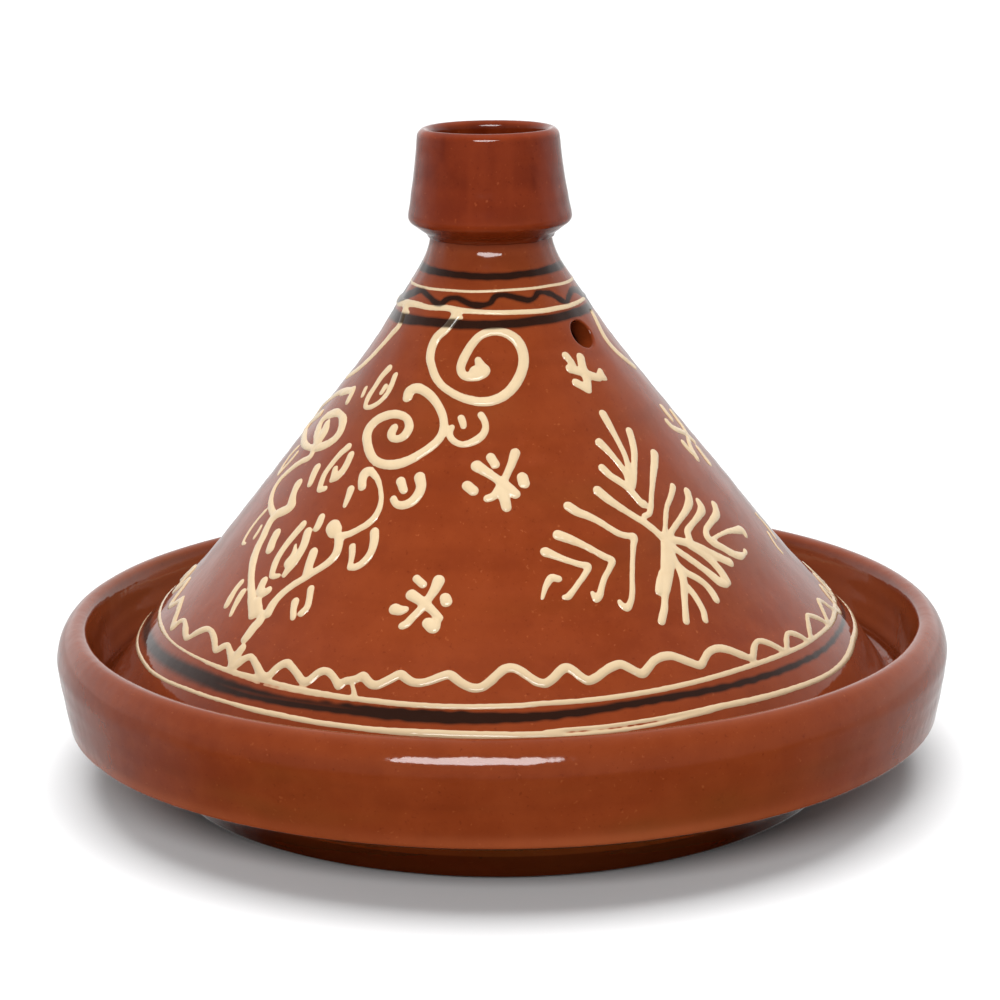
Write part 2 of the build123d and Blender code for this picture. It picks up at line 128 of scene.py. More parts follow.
    "l_p2": [(-110.6, 75.7, 1.58), (-110.5, 73.5, 1.64), (-110.1, 71.2, 1.3), (-109.6, 69.6, 1.09)],
    "l_far1": [(-123.9, 96.1, 1), (-124.7, 93.8, 1), (-125.1, 91.3, 1), (-124.8, 88.6, 1), (-123.8, 86.1, 1), (-122.3, 86.4, 0.62)],
    "l_far2": [(-120.6, 92.3, 1), (-120.2, 90.7, 1), (-120.1, 89, 1)],
    "r_arc": [(25.8, 157.2, 1.5), (21.3, 153.4, 1.5), (18.8, 149.8, 1.5), (18.9, 146.9, 1.5), (21.2, 143.9, 1.5), (25, 140.9, 1.5), (28.7, 138.8, 1.5)],
    "r_f1": [(23.4, 126.4, 1.5), (23.2, 124.5, 1.5), (23.9, 122.6, 1.5)],
    "r_f2": [(18.1, 122.8, 1.5), (19.1, 120.8, 1.5), (23.3, 118.6, 1.5), (27, 116.6, 1.5), (29, 113.9, 1.5)],
    "r_f3": [(30.7, 123.3, 1.5), (30.1, 120.7, 1.5), (28.9, 118.3, 1.5), (26, 116, 1.5), (22.1, 114.3, 1.5), (20.6, 112.4, 1.5), (19.6, 110.6, 1.5)],
    "r_f4": [(18.4, 115.9, 1.5), (18.7, 113.9, 1.5), (19.5, 112.2, 1.5)],
    "r_f5": [(27.3, 111.9, 1.5), (27.1, 109.8, 1.5), (26.7, 107.2, 1.5)],
    "r_g1": [(30.2, 82.7, 1), (29, 81, 1), (28.3, 78.9, 1), (28.4, 76.7, 1)],
    "r_g2": [(33.7, 87.7, 1), (34.4, 84.8, 1), (33.9, 82.4, 1), (33.2, 79.6, 1)],
    "wave": [(-132.3, 64.8, 1.6), (-129.1, 62.8, 1.6), (-124.8, 59.4, 1.6), (-124.4, 61.2, 1.6), (-123.1, 62.4, 0.96), (-119.7, 61, 1.6), (-117.1, 59.8, 1.22), (-115.7, 61.8, 1.6), (-114.4, 63.3, 1.6), (-112.6, 64.2, 1.08), (-110.4, 63.5, 1.3), (-108.4, 62, 1.44), (-106.7, 60.4, 1.08), (-105.9, 61.7, 1.6), (-104.9, 62.7, 1.14), (-103.3, 61.5, 1.34), (-101.8, 60, 1.52), (-100.5, 58.3, 1.3), (-99.7, 59.4, 1.6), (-99.1, 60.9, 1.6), (-98, 61.9, 1.24), (-96.3, 60.8, 1.36), (-94.5, 59.2, 1.45), (-93.2, 58.2, 1.5), (-92.2, 58.6, 1.6), (-91.7, 60.2, 1.6), (-91, 61.7, 1.6), (-90, 62.6, 1.6), (-88.7, 61.9, 1.37), (-87, 60.5, 1.34), (-85.4, 59.1, 1.4), (-84.5, 59.3, 1.6), (-83.8, 60.8, 1.6), (-83, 62, 1.59), (-82, 62.4, 1.39), (-80.8, 61.7, 1.33), (-79.5, 60.1, 1.36), (-78.8, 59.2, 1.38), (-78.3, 60.4, 1.43), (-77.3, 61, 1.43), (-76.2, 61.5, 1.51), (-75.4, 62.4, 1.6), (-74.6, 61.6, 1.53), (-73.6, 60.6, 1.55), (-72.6, 60.5, 1.6), (-71.5, 61.4, 1.6), (-70.3, 62.6, 1.6), (-69.2, 63.6, 1.6), (-68.2, 62.8, 1.6), (-67, 61.9, 1.52), (-65.6, 61.8, 1.49), (-64, 62.5, 1.53), (-62.5, 63.5, 1.6), (-61.1, 64.1, 1.6), (-59.9, 63, 1.6), (-58.7, 61.8, 1.55), (-57.3, 61, 1.6), (-55.9, 61.1, 1.6), (-54.7, 62.3, 1.6), (-53.4, 64.1, 1.6), (-52.2, 65.5, 1.6), (-50.9, 65.8, 1.6), (-49.7, 65.1, 1.6), (-48.3, 63.5, 1.55), (-47, 62.1, 1.6), (-45.8, 61.7, 1.6), (-44.5, 62.7, 1.6), (-43.1, 64.5, 1.6), (-42, 65.3, 1.6), (-40.9, 64.3, 1.6), (-39.8, 62.6, 1.6), (-38.8, 61.6, 1.6), (-37.5, 62.2, 1.6), (-36, 63.4, 1.54), (-34.3, 64.5, 1.6), (-32.7, 64.8, 1.6), (-31.6, 63.8, 1.6), (-30.6, 62.6, 1.6), (-29.6, 61.8, 1.6), (-28.3, 63, 1.52), (-26.6, 64.6, 1.46), (-24.7, 65.2, 1.6), (-23.1, 64.9, 1.6), (-21.7, 63.8, 1.6), (-20.3, 62.5, 1.6), (-18.8, 61.4, 1.52), (-17.5, 62.6, 1.36), (-16.1, 63.9, 1.35), (-14.2, 64.4, 1.46), (-12.6, 63.9, 1.6), (-11.1, 62.7, 1.6), (-9.7, 61.2, 1.6), (-8, 59.9, 1.32), (-6.4, 61.8, 1.38), (-4.7, 63.1, 0.99), (-3.2, 62.6, 1.36), (-1.9, 61.4, 1.36), (-0.7, 59.8, 1.36), (0.5, 58.6, 0.94), (2.4, 60.5, 1.36), (4.1, 61.9, 1), (5.8, 61.1, 1.36), (7, 59.8, 1.36), (8.5, 58, 0.88), (11.4, 60.3, 1.36), (14.3, 62.7, 1.08), (16.4, 61.3, 1.36), (17.8, 59.8, 1.36), (19.1, 58.1, 1.21), (21.6, 60.6, 1.36), (24, 62.6, 1.36), (25.5, 61.7, 1.36), (26.4, 59.7, 1.36)],
    "wave_tick": [(-76.9, 60.4, 0.81), (-76.2, 58.8, 0.87), (-75.5, 56.9, 1.06)],
    "wave_dash": [(-101, 63.1, 1.88), (-101.1, 61.5, 1.92), (-100.9, 59.5, 1.8)],
    "ringB": [(-147.1, 55.7, 1.16), (-137.7, 57.1, 1.16), (-129.2, 57, 1.04), (-122.1, 56.9, 0.61), (-116.6, 57, 0.57), (-111.9, 57.1, 0.61), (-107.2, 57.2, 0.7), (-103.2, 57.3, 0.77), (-99.3, 57.4, 0.84), (-95.8, 57.5, 0.89), (-92.4, 57.4, 0.94), (-88.6, 57.3, 0.93), (-85.3, 57.1, 0.98), (-81.6, 57, 1.01), (-77.2, 56.8, 1.03), (-73, 56.7, 1.1), (-68.1, 56.5, 1.09), (-63.5, 56.4, 1.06), (-58.9, 56.4, 1.05), (-54.4, 56.5, 1.06), (-49.9, 56.6, 1.05), (-46.1, 56.9, 1.02), (-42.3, 56.9, 1.02), (-37.6, 57, 1.03), (-32.7, 57.2, 1.03), (-27.6, 57.4, 1.04), (-22, 57.7, 1.01), (-16, 58, 1.02), (-9.3, 58.2, 1.03), (-1.4, 58.1, 1.02), (4.9, 57.8, 0.95), (13.5, 57.6, 0.91), (19.9, 57.3, 1.09), (26.9, 57.5, 1.34)],
    "ringB2": [(-107.5, 56.8, 0.4), (-102.8, 56.7, 0.4), (-97.6, 56.5, 0.4), (-92.6, 56.2, 0.4), (-87.8, 56.1, 0.41), (-83.1, 56.1, 0.4), (-78.7, 56.2, 0.44), (-74.5, 56.2, 0.4)],
    "ringA": [(-120.8, 48.2, 0.81), (-114.3, 48.7, 0.78), (-107.9, 49.4, 0.78), (-102.5, 49.7, 0.8), (-96.7, 50, 0.81), (-91.5, 50, 1.05), (-86.8, 50.1, 1.05), (-83.2, 50, 1.04), (-79.8, 49.9, 1.03), (-75.7, 49.9, 1.02), (-71.8, 49.8, 1.08), (-67.3, 49.8, 1.26), (-63, 49.8, 1.35), (-58.7, 49.7, 1.34), (-54.4, 49.6, 1.33), (-50.2, 49.4, 1.29), (-46.6, 49.3, 1.29), (-44.5, 49.3, 1.23)],
    "ringA_hi": [(-46.6, 50, 0.65), (-43, 50.3, 0.62), (-38.5, 50.3, 0.62), (-34, 50.5, 0.59), (-29.2, 50.7, 0.59), (-24.1, 50.9, 0.66), (-20.2, 50.9, 0.88)],
    "ringA_lo": [(-46.7, 48.7, 0.62), (-43.1, 48.8, 0.62), (-38.7, 48.9, 0.62), (-34.2, 49, 0.59), (-29.5, 49.3, 0.59), (-24.4, 49.9, 0.64), (-20.4, 50.3, 0.86)],
    "ringA_r": [(-21.6, 50.5, 1.32), (-18.8, 50.7, 1.21), (-14.1, 50.4, 1.2), (-8.9, 50, 1.13), (-3, 49.6, 1.07), (2.5, 49.1, 1.02), (7.5, 48.8, 0.99), (12.9, 48.9, 1.14), (18.1, 49.4, 1.39), (23.3, 50.3, 1.45)],
    "l_arm": [(-122.8, 134.1, 1.5), (-130.4, 132.7, 1.5), (-137.9, 129.8, 1.5), (-144.3, 126.2, 1.5), (-149.1, 122.4, 1.5), (-149.1, 119.3, 0.52)],
    "ringC": [(-135.5, 166.5, 1.32), (-101.5, 167.5, 0.7), (-83.4, 167.7, 0.68), (-68.2, 167.7, 0.67), (-54.2, 167.9, 0.67), (-40.1, 168.1, 0.67), (-25, 168.1, 0.68), (-7, 168.1, 0.7), (11.6, 167.8, 0.75), (30.3, 167, 1.17)],
    "ringD": [(-132.3, 161.2, 1.79), (-109.4, 162.3, 1.3), (-94.7, 162.1, 1.07), (-83.4, 162.5, 1.23), (-73, 162.1, 1.14), (-60.4, 161.8, 1), (-48.4, 161.6, 1.01), (-36.1, 161.5, 1.02), (-23.1, 161.3, 1.03), (-11.6, 161.4, 1.03), (2.4, 161.4, 0.96), (17.3, 161.6, 0.86), (37.8, 160.7, 1.34)],
    "tickD1": [(-121.2, 160.9, 1.12), (-112.1, 159.4, 0.87)],
    "tickD2": [(-78.8, 161.8, 0.85), (-73.8, 160.7, 0.85), (-71.6, 159.9, 0.78)],
    "bandE": [(-121.2, 172.8, 1.35), (-98.1, 172.6, 1.29), (-78.3, 172.3, 1.29), (-61.8, 172.2, 1.29), (-46.2, 172.1, 1.28), (-29.8, 172.4, 1.29), (-10.6, 172.6, 1.31), (10.4, 172.8, 1.36), (29.2, 172.4, 1.65)],
    "bwave": [(-129, 163.4, 2.1), (-116.8, 165.7, 1.69), (-108.6, 166.4, 1.03), (-100.3, 165.3, 0.99), (-93.1, 163.9, 0.98), (-87.9, 163.5, 1.15), (-83.8, 165.1, 1.15), (-78.1, 165.6, 1.05), (-72.8, 165, 1.17), (-65.8, 163.8, 1.2), (-58.7, 163.7, 1.04), (-54.3, 164.4, 1.01), (-50.9, 166.2, 1.01), (-45.4, 166.7, 1.05), (-40.1, 166.3, 1.07), (-34.3, 165.4, 1.27), (-29, 164.8, 1.17), (-24.3, 165.2, 0.96), (-20.8, 166.5, 0.99), (-14.2, 166.4, 0.98), (-9, 165.5, 1.12), (-4, 163.7, 1.31), (0.4, 162.6, 0.85), (6.9, 164, 1.08), (15.6, 165.2, 1), (29, 163.5, 2.1)],
    "bandF": [(-118.3, 157.3, 1.97), (-98.6, 158, 1.72), (-84.1, 158, 1.67), (-71.6, 158, 1.66), (-60.1, 158, 1.66), (-48.9, 158.1, 1.65), (-37.4, 158.4, 1.65), (-25, 158.7, 1.67), (-14.6, 158.7, 1.61), (-1.7, 159, 1.53), (17.3, 159, 1.58), (41.5, 157.6, 1.2)],
    "bandL": [(-124.1, 52.5, 2.76), (-117.3, 52.9, 3.12), (-110, 53.4, 3.21), (-102.7, 53.5, 2.88), (-96.2, 53.6, 2.37), (-90.9, 53.6, 1.96), (-86, 53.6, 1.77), (-80.8, 54, 1.82), (-75.8, 54.1, 1.99), (-70.9, 53.9, 2.15), (-66.3, 53.9, 2.31), (-61.8, 53.8, 2.3), (-57.3, 53.7, 2.3), (-53, 53.7, 1.9), (-48.6, 53.7, 1.61), (-46.3, 53.7, 1.51), (-42.6, 54.1, 1.47), (-37.9, 54.6, 1.48), (-33.1, 55, 1.42), (-28.1, 55.3, 1.34), (-24.6, 55.2, 1.35), (-21, 55.2, 1.29), (-17.2, 55, 1.23), (-13.1, 54.9, 1.19), (-8.7, 54.9, 1.21), (-3.8, 54.6, 1.2), (2, 54.6, 1.16), (7.1, 54.3, 0.98), (13, 54.3, 0.91), (17.8, 54.6, 0.95)],
}

BANDS = ("bandE", "bwave", "bandF", "bandL")          # brushed black slip
RINGS = ("ringC", "ringD", "ringB", "ringA")          # trailed cream rings


# ------------------------------------------------------------------ helpers
def catmull(points, step):
    """Smooth curve through points, sampled about every step mm."""
    p = np.asarray(points, float)
    if len(p) == 2:
        n = max(2, int(np.ceil(np.linalg.norm(p[1, :2] - p[0, :2]) / step)) + 1)
        t = np.linspace(0, 1, n)[:, None]
        return p[0] * (1 - t) + p[1] * t
    e = np.vstack([2 * p[0] - p[1], p, 2 * p[-1] - p[-2]])
    out = []
    for i in range(1, len(e) - 2):
        a, b, c, d = e[i - 1], e[i], e[i + 1], e[i + 2]
        t0 = 0.0
        t1 = t0 + max(np.linalg.norm((b - a)[:2]), 1e-6) ** 0.5
        t2 = t1 + max(np.linalg.norm((c - b)[:2]), 1e-6) ** 0.5
        t3 = t2 + max(np.linalg.norm((d - c)[:2]), 1e-6) ** 0.5
        n = max(1, int(np.ceil(np.linalg.norm((c - b)[:2]) / step)))
        t = np.linspace(t1, t2, n + 1)[:-1, None]
        a1 = (t1 - t) / (t1 - t0) * a + (t - t0) / (t1 - t0) * b
        a2 = (t2 - t) / (t2 - t1) * b + (t - t1) / (t2 - t1) * c
        a3 = (t3 - t) / (t3 - t2) * c + (t - t2) / (t3 - t2) * d
        b1 = (t2 - t) / (t2 - t0) * a1 + (t - t0) / (t2 - t0) * a2
        b2 = (t3 - t) / (t3 - t1) * a2 + (t - t1) / (t3 - t1) * a3
        out.append((t2 - t) / (t2 - t1) * b1 + (t - t1) / (t2 - t1) * b2)
    out.append(p[-1:])
    return np.vstack(out)


def waves(seed, angular, axial, count, sharp=1.0):
    """A smooth random field in (angle in radians, mm): periodic round the pot."""
    r = np.random.default_rng(seed)
    k = r.integers(angular[0], angular[1] + 1, count)
    w = r.uniform(axial[0], axial[1], count) * r.choice([-1.0, 1.0], count)
    ph = r.uniform(0, 2 * np.pi, count)
    am = 1.0 / np.sqrt(count / 2.0)

    def f(a, s):
        t = 0.0
        for i in range(count):
            t = t + np.sin(k[i] * a + w[i] * s + ph[i])
        return t * am * sharp

    return f


def smooth(x, lo, hi):
    t = np.clip((x - lo) / (hi - lo), 0, 1)
    return t * t * (3 - 2 * t)


def build(name, verts_mm, quads, tris=None, attributes=None):
    """A mesh object from arrays, in metres."""
    me = bpy.data.meshes.new(name)
    v = (np.asarray(verts_mm, float) * MM).astype(np.float32)
    quads = np.asarray(quads, np.int32).reshape(-1, 4)
    tris = np.zeros((0, 3), np.int32) if tris is None else np.asarray(tris, np.int32).reshape(-1, 3)
    me.vertices.add(len(v))
    me.vertices.foreach_set("co", v.ravel())
    me.loops.add(quads.size + tris.size)
    me.loops.foreach_set("vertex_index", np.concatenate([quads.ravel(), tris.ravel()]))
    me.polygons.add(len(quads) + len(tris))
    starts = np.concatenate([np.arange(len(quads)) * 4, quads.size + np.arange(len(tris)) * 3])
    me.polygons.foreach_set("loop_start", starts.astype(np.int32))
    me.polygons.foreach_set("use_smooth", np.ones(len(quads) + len(tris), bool))
    for key, value in (attributes or {}).items():
        at = me.attributes.new(key, "FLOAT", "POINT")
        at.data.foreach_set("value", np.asarray(value, np.float32))
    me.update(calc_edges=True)
    me.validate()
    ob = bpy.data.objects.new(name, me)
    bpy.context.scene.collection.objects.link(ob)
    return ob


# ------------------------------------------------------------------ the lid's shape
LID_Z = np.array([33.5, 37.3, 41.6, 49.5, 57.1, 62, 72, 85, 100, 115, 130, 142, 152, 160, 166, 171, 175, 179, 182.4])
LID_R = np.array([132.3, 129.4, 126.4, 121.2, 114.2, 109.53, 99.9, 89.1, 77.25, 65.33, 53.37, 43.9, 36.65, 31.57, 27.7, 24.4, 22.25, 20.62, 20.0])
# the lid was lifted off the wheel a little askew: sideways shift by height
LEAN_Z = np.array([31, 62, 72, 85, 100, 115, 130, 142, 152, 160, 166, 171, 175, 182.4, 190, 198, 208, 217])
LEAN_D = np.array([-1.1, -1.15, -1.15, -1.12, -1.05, -1.2, -1.15, -1.15, -1.4, -1.68, -1.78, -1.85, -1.92, -2.0, -2.25, -2.35, -2.4, -2.4])
LEAN_DIR = (math.cos(math.radians(36.8)), math.sin(math.radians(36.8)))

_outer = catmull(np.column_stack([LID_R, LID_Z]), 0.2)       # upward, z grows
_os = np.concatenate([[0], np.cumsum(np.hypot(*np.diff(_outer, axis=0).T))])


def s_of_z(z):
    return np.interp(z, _outer[:, 1], _os)


def rz_of_s(s):
    return np.interp(s, _os, _outer[:, 0]), np.interp(s, _os, _outer[:, 1])


throw_a = waves(3, (0, 2), (0.50, 0.95), 7)      # throwing rings
throw_b = waves(4, (1, 5), (0.02, 0.10), 6)      # hand-made unevenness
throw_c = waves(5, (6, 26), (0.05, 0.30), 10)    # small ripples


def uneven(a, z, big=0.10, rings=0.035, small=0.03):
    return big * throw_b(a, z) + rings * throw_a(a, z * 1.25) + small * throw_c(a, z)


def place(a, r, z, off=0.0, lean=True, amount=1.0, **k):
    """Points of a turned surface: angle a in radians, radius r, height z, off in mm outward."""
    rr = r + off + amount * uneven(a, z, **k) * np.clip(r / 12.0, 0, 1)
    x, y = rr * np.cos(a), rr * np.sin(a)
    if lean:
        d = np.interp(z, LEAN_Z, LEAN_D)
        x = x + d * LEAN_DIR[0]
        y = y + d * LEAN_DIR[1]
    return np.stack([x, y, z + 0.0 * a], -1)


# ------------------------------------------------------------------ the decoration as fields
NA = 1800
S0, S1 = float(s_of_z(45.0)), float(s_of_z(178.0))
NS = int((S1 - S0) / 0.35)
GA = -np.pi + np.arange(NA) * 2 * np.pi / NA
GS = np.linspace(S0, S1, NS)
GR, GZ = rz_of_s(GS)
DS = GS[1] - GS[0]
DA = 2 * np.pi / NA


def to_as(points):
    p = np.asarray(points, float)
    return np.column_stack([np.radians(p[:, 0]), s_of_z(p[:, 1]), p[:, 2]])


def trail(field, pts, height, step=0.7, power=2.0, closed=False):
    """Raises field to a rounded bead along pts (angle rad, s mm, half width mm)."""
    p = pts
    if closed:
        p = np.vstack([pts, pts[:1] + [2 * np.pi, 0, 0]])
    rl = np.interp(p[:, 1], GS, GR)
    flat = np.column_stack([p[:, 0] * np.median(rl), p[:, 1], p[:, 2]])
    flat = catmull(flat, step)
    c = np.column_stack([flat[:, 0] / np.median(rl), flat[:, 1], flat[:, 2]])
    reach = 0.55
    for q0, q1 in zip(c[:-1], c[1:]):
        w = max(q0[2], q1[2]) + reach
        j0 = max(0, int((min(q0[1], q1[1]) - w - S0) / DS))
        j1 = min(NS, int((max(q0[1], q1[1]) + w - S0) / DS) + 2)
        if j1 <= j0:
            continue
        r = GR[(j0 + j1) // 2 if (j0 + j1) // 2 < NS else NS - 1]
        i0 = int(np.floor((min(q0[0], q1[0]) - w / r + np.pi) / DA))
        i1 = int(np.ceil((max(q0[0], q1[0]) + w / r + np.pi) / DA)) + 1
        ii = np.arange(i0, i1)
        ang = -np.pi + ii * DA
        x = (ang[:, None] - q0[0]) * r
        y = GS[None, j0:j1] - q0[1]
        dx, dy = (q1[0] - q0[0]) * r, q1[1] - q0[1]
        l2 = dx * dx + dy * dy + 1e-9
        t = np.clip((x * dx + y * dy) / l2, 0, 1)
        d = np.hypot(x - t * dx, y - t * dy)
        hw = q0[2] + t * (q1[2] - q0[2])
        hgt = height * np.clip(hw / 1.5, 0.55, 1.15)
        u = d / hw
        inside = hgt * (1 - np.clip(u, 0, 1) ** power)
        outside = -(d - hw) * 1.15
        f = np.where(u < 1, inside, outside)
        rows = ii % NA
        field[rows, j0:j1] = np.maximum(field[rows, j0:j1], f)


def mirrored(name):
    """A ring traced over the front, carried round the back by mirroring it."""
    p = np.asarray(STROKES[name], float)
    th = p[:, 0] + VENT_TURN
    p = p[np.argsort(th)]
    th = np.sort(th)
    keep = np.abs(th) < 81
    p, th = p[keep], th[keep]
    back = p[::-1].copy()
    bt = 180 - th[::-1]
    q = np.vstack([np.column_stack([th, p[:, 1:]]), np.column_stack([bt, back[:, 1:]])])
    q[:, 0] -= VENT_TURN
    return q


cream = np.full((NA, NS), -9.0)
motifs = [k for k in STROKES if k not in BANDS + RINGS and k not in ("wave", "ringB2", "ringA_hi", "ringA_lo", "ringA_r", "tickD1", "tickD2", "wave_tick", "wave_dash")]
back_half = np.full((NA, NS), -9.0)
for k in motifs:
    side = np.abs(np.asarray(STROKES[k], float)[:, 0] + VENT_TURN).max()
    if side < 70:
        trail(back_half, to_as(STROKES[k]), 0.47, power=2.8)
    else:
        trail(cream, to_as(STROKES[k]), 0.45, power=2.8)
# the same figures go round the back, half a turn on
cream = np.maximum(cream, np.maximum(back_half, np.roll(back_half, NA // 2, axis=0)))
for k in ("tickD1", "tickD2", "wave_tick", "wave_dash"):
    trail(cream, to_as(STROKES[k]), 0.5)



def bridge(p, q, count, swing):
    """Carries a wavy line on from point p to point q at the pot's side."""
    t = np.linspace(0, 1, count + 2)[1:-1]
    flip = np.where(np.arange(count) % 2 == 0, -1.0, 1.0) * (1 + 0.22 * np.sin(np.arange(count) * 2.4 + p[0]))
    return np.column_stack([p[0] * (1 - t) + q[0] * t + 0.5 * np.sin(np.arange(count) * 1.9),
                            p[1] * (1 - t) + q[1] * t + swing * flip, p[2] * (1 - t) + q[2] * t])


def all_round(name, count, swing):
    """A wavy line traced over the front, mirrored over the back and joined at both sides."""
    front = np.asarray(STROKES[name], float)
    back = front[::-1].copy()
    back[:, 0] = 180 - (front[::-1, 0] + VENT_TURN) - VENT_TURN
    return to_as(np.vstack([front, bridge(front[-1], back[0], count, swing), back,
                            bridge(back[-1], front[0] + [360, 0, 0], count, swing)]))


trail(cream, all_round("wave", 5, 3.0), 0.50, power=2.8, closed=True)
for k, hgt in (("ringC", 0.36), ("ringD", 0.42), ("ringB", 0.46)):
    trail(cream, to_as(mirrored(k)), hgt, closed=True)
trail(cream, to_as(STROKES["ringB2"]), 0.18)

ra = np.asarray(STROKES["ringA"], float)
rr_ = np.asarray(STROKES["ringA_r"], float)
for k, hgt, wide in (("ringA", 0.5, 1.0), ("ringA_hi", 0.62, 1.12), ("ringA_lo", 0.62, 1.12), ("ringA_r", 0.5, 1.0)):
    trail(cream, to_as(STROKES[k]) * [1, 1, wide], hgt)
b0, b1 = rr_[-1].copy(), ra[0].copy()
b1[0] += 360
n = 14
t = np.linspace(0, 1, n)
zz = (b0[1] * (1 - t) + b1[1] * t) + 0.5 * np.sin(t * np.pi * 3) * np.sin(t * np.pi)
hw = (b0[2] * (1 - t) + b1[2] * t) * (1 - np.sin(t * np.pi)) + 1.25 * np.sin(t * np.pi)
trail(cream, to_as(np.column_stack([b0[0] * (1 - t) + b1[0] * t, zz, hw])), 0.5)

# a slightly unsteady hand, then surface tension rounds the joins
edge_noise = waves(11, (60, 260), (0.3, 1.1), 24)
A2, S2 = np.meshgrid(GA, GS, indexing="ij")
cream = np.where(cream > -1.2, cream + 0.022 * edge_noise(A2, S2), cream)
cream = np.maximum(cream, -0.8)


def blur(f, mm):
    """Blurs along both directions by about mm millimetres."""
    g = f
    n = max(1, int(round(mm / DS)))
    k = np.exp(-0.5 * (np.arange(-2 * n, 2 * n + 1) / n) ** 2)
    k /= k.sum()
    pad = np.pad(g, ((0, 0), (2 * n, 2 * n)), mode="edge")
    g = sum(k[m] * pad[:, m:m + f.shape[1]] for m in range(len(k)))
    # along the angle the same distance covers more columns near the top
    out = np.empty_like(g)
    for lo in range(0, NS, 24):
        hi = min(NS, lo + 24)
        m = max(1, int(round(mm / (GR[(lo + hi) // 2 if (lo + hi) // 2 < NS else NS - 1] * DA))))
        kk = np.exp(-0.5 * (np.arange(-2 * m, 2 * m + 1) / m) ** 2)
        kk /= kk.sum()
        out[:, lo:hi] = sum(kk[q] * np.roll(g[:, lo:hi], q - 2 * m, axis=0) for q in range(len(kk)))
    return out


cream = blur(cream, 0.28)


def ring_line(name):
    """Height s and half width of a ring for every angle of the grid."""
    q = to_as(mirrored(name))
    a = np.mod(q[:, 0] + np.pi, 2 * np.pi)
    o = np.argsort(a)
    a, s, h = a[o], q[o, 1], q[o, 2]
    a = np.concatenate([[a[-1] - 2 * np.pi], a, [a[0] + 2 * np.pi]])
    s = np.concatenate([[s[-1]], s, [s[0]]])
    h = np.concatenate([[h[-1]], h, [h[0]]])
    g = np.mod(GA + np.pi, 2 * np.pi)
    s, h = np.interp(g, a, s), np.interp(g, a, h)
    kk = np.exp(-0.5 * (np.arange(-48, 49) / 16.0) ** 2)
    kk /= kk.sum()
    s = sum(kk[q] * np.roll(s, q - 48) for q in range(97))
    h = sum(kk[q] * np.roll(h, q - 48) for q in range(97))
    return s, h


ink = np.zeros((NA, NS))
rag = waves(21, (6, 34), (0.2, 1.1), 18)
rag_low = waves(24, (30, 150), (0.2, 1.3), 22)
streak = waves(22, (1, 9), (3.0, 7.5), 18)
patchy = waves(23, (3, 16), (0.1, 0.8), 12)
for name, soft, ragged in (("bandE", 0.20, 0.045), ("bandF", 0.22, 0.05), ("bandL", 0.40, 0.10)):
    sc, hw = ring_line(name)
    d = np.abs(S2 - sc[:, None]) - hw[:, None] - ragged * (rag_low if name == "bandL" else rag)(A2, S2)
    dens = 1 - smooth(d, -soft * 1.6, soft)
    if name == "bandL":
        # brushed in two passes: it breaks into streaks towards one side
        th = np.degrees(A2) + VENT_TURN
        loose = np.exp(-((th + 30) / 17.0) ** 2) * 0.50 + 0.12
        mid = np.exp(-((S2 - sc[:, None] - 0.35) / 0.45) ** 2)
        dens = dens * (1 - loose * smooth(streak(A2, S2), 0.1, 1.3)) * (1 - 0.45 * mid * loose * 1.5)
        far = smooth(-th, 38.0, 62.0) * (th > -100)
        wide = 1 - smooth(np.abs(S2 - sc[:, None]) - hw[:, None] * 0.7, -1.6, 1.9)
        dens = dens * (1 - far) + 0.88 * wide * far
    else:
        dens = dens * (1 - 0.16 * smooth(streak(A2, S2), 0.2, 1.4))
    dens = dens * (1 - 0.10 * smooth(patchy(A2, S2), 0.3, 1.5))
    ink = np.maximum(ink, np.clip(dens, 0, 1))
bw = np.full((NA, NS), -9.0)
trail(bw, all_round("bwave", 3, 1.2), 1.0, closed=True)
ink = np.maximum(ink, smooth(bw + 0.10 * rag(A2, S2), -0.12, 0.30) * (1 - 0.18 * smooth(streak(A2, S2), 0.2, 1.4)))
ink = blur(ink, 0.18)


def sample(field, a, s):
    """Bilinear reading of a grid field."""
    fi = np.mod((a + np.pi) / DA, NA)
    fj = np.clip((s - S0) / DS, 0, NS - 1.001)
    i0 = np.floor(fi).astype(int) % NA
    j0 = np.floor(fj).astype(int)
    u, v = fi - np.floor(fi), fj - j0
    i1, j1 = (i0 + 1) % NA, j0 + 1
    r = (field[i0, j0] * (1 - u) * (1 - v) + field[i1, j0] * u * (1 - v)
         + field[i0, j1] * (1 - u) * v + field[i1, j1] * u * v)
    return np.where((s < S0) | (s > S1), 0.0, r)


# ------------------------------------------------------------------ lid mesh with its real vent
NL = 900


def spaced(s_from, s_to, step):
    n = max(1, int(round(abs(s_to - s_from) / step)))
    return np.linspace(s_from, s_to, n + 1)[:-1]


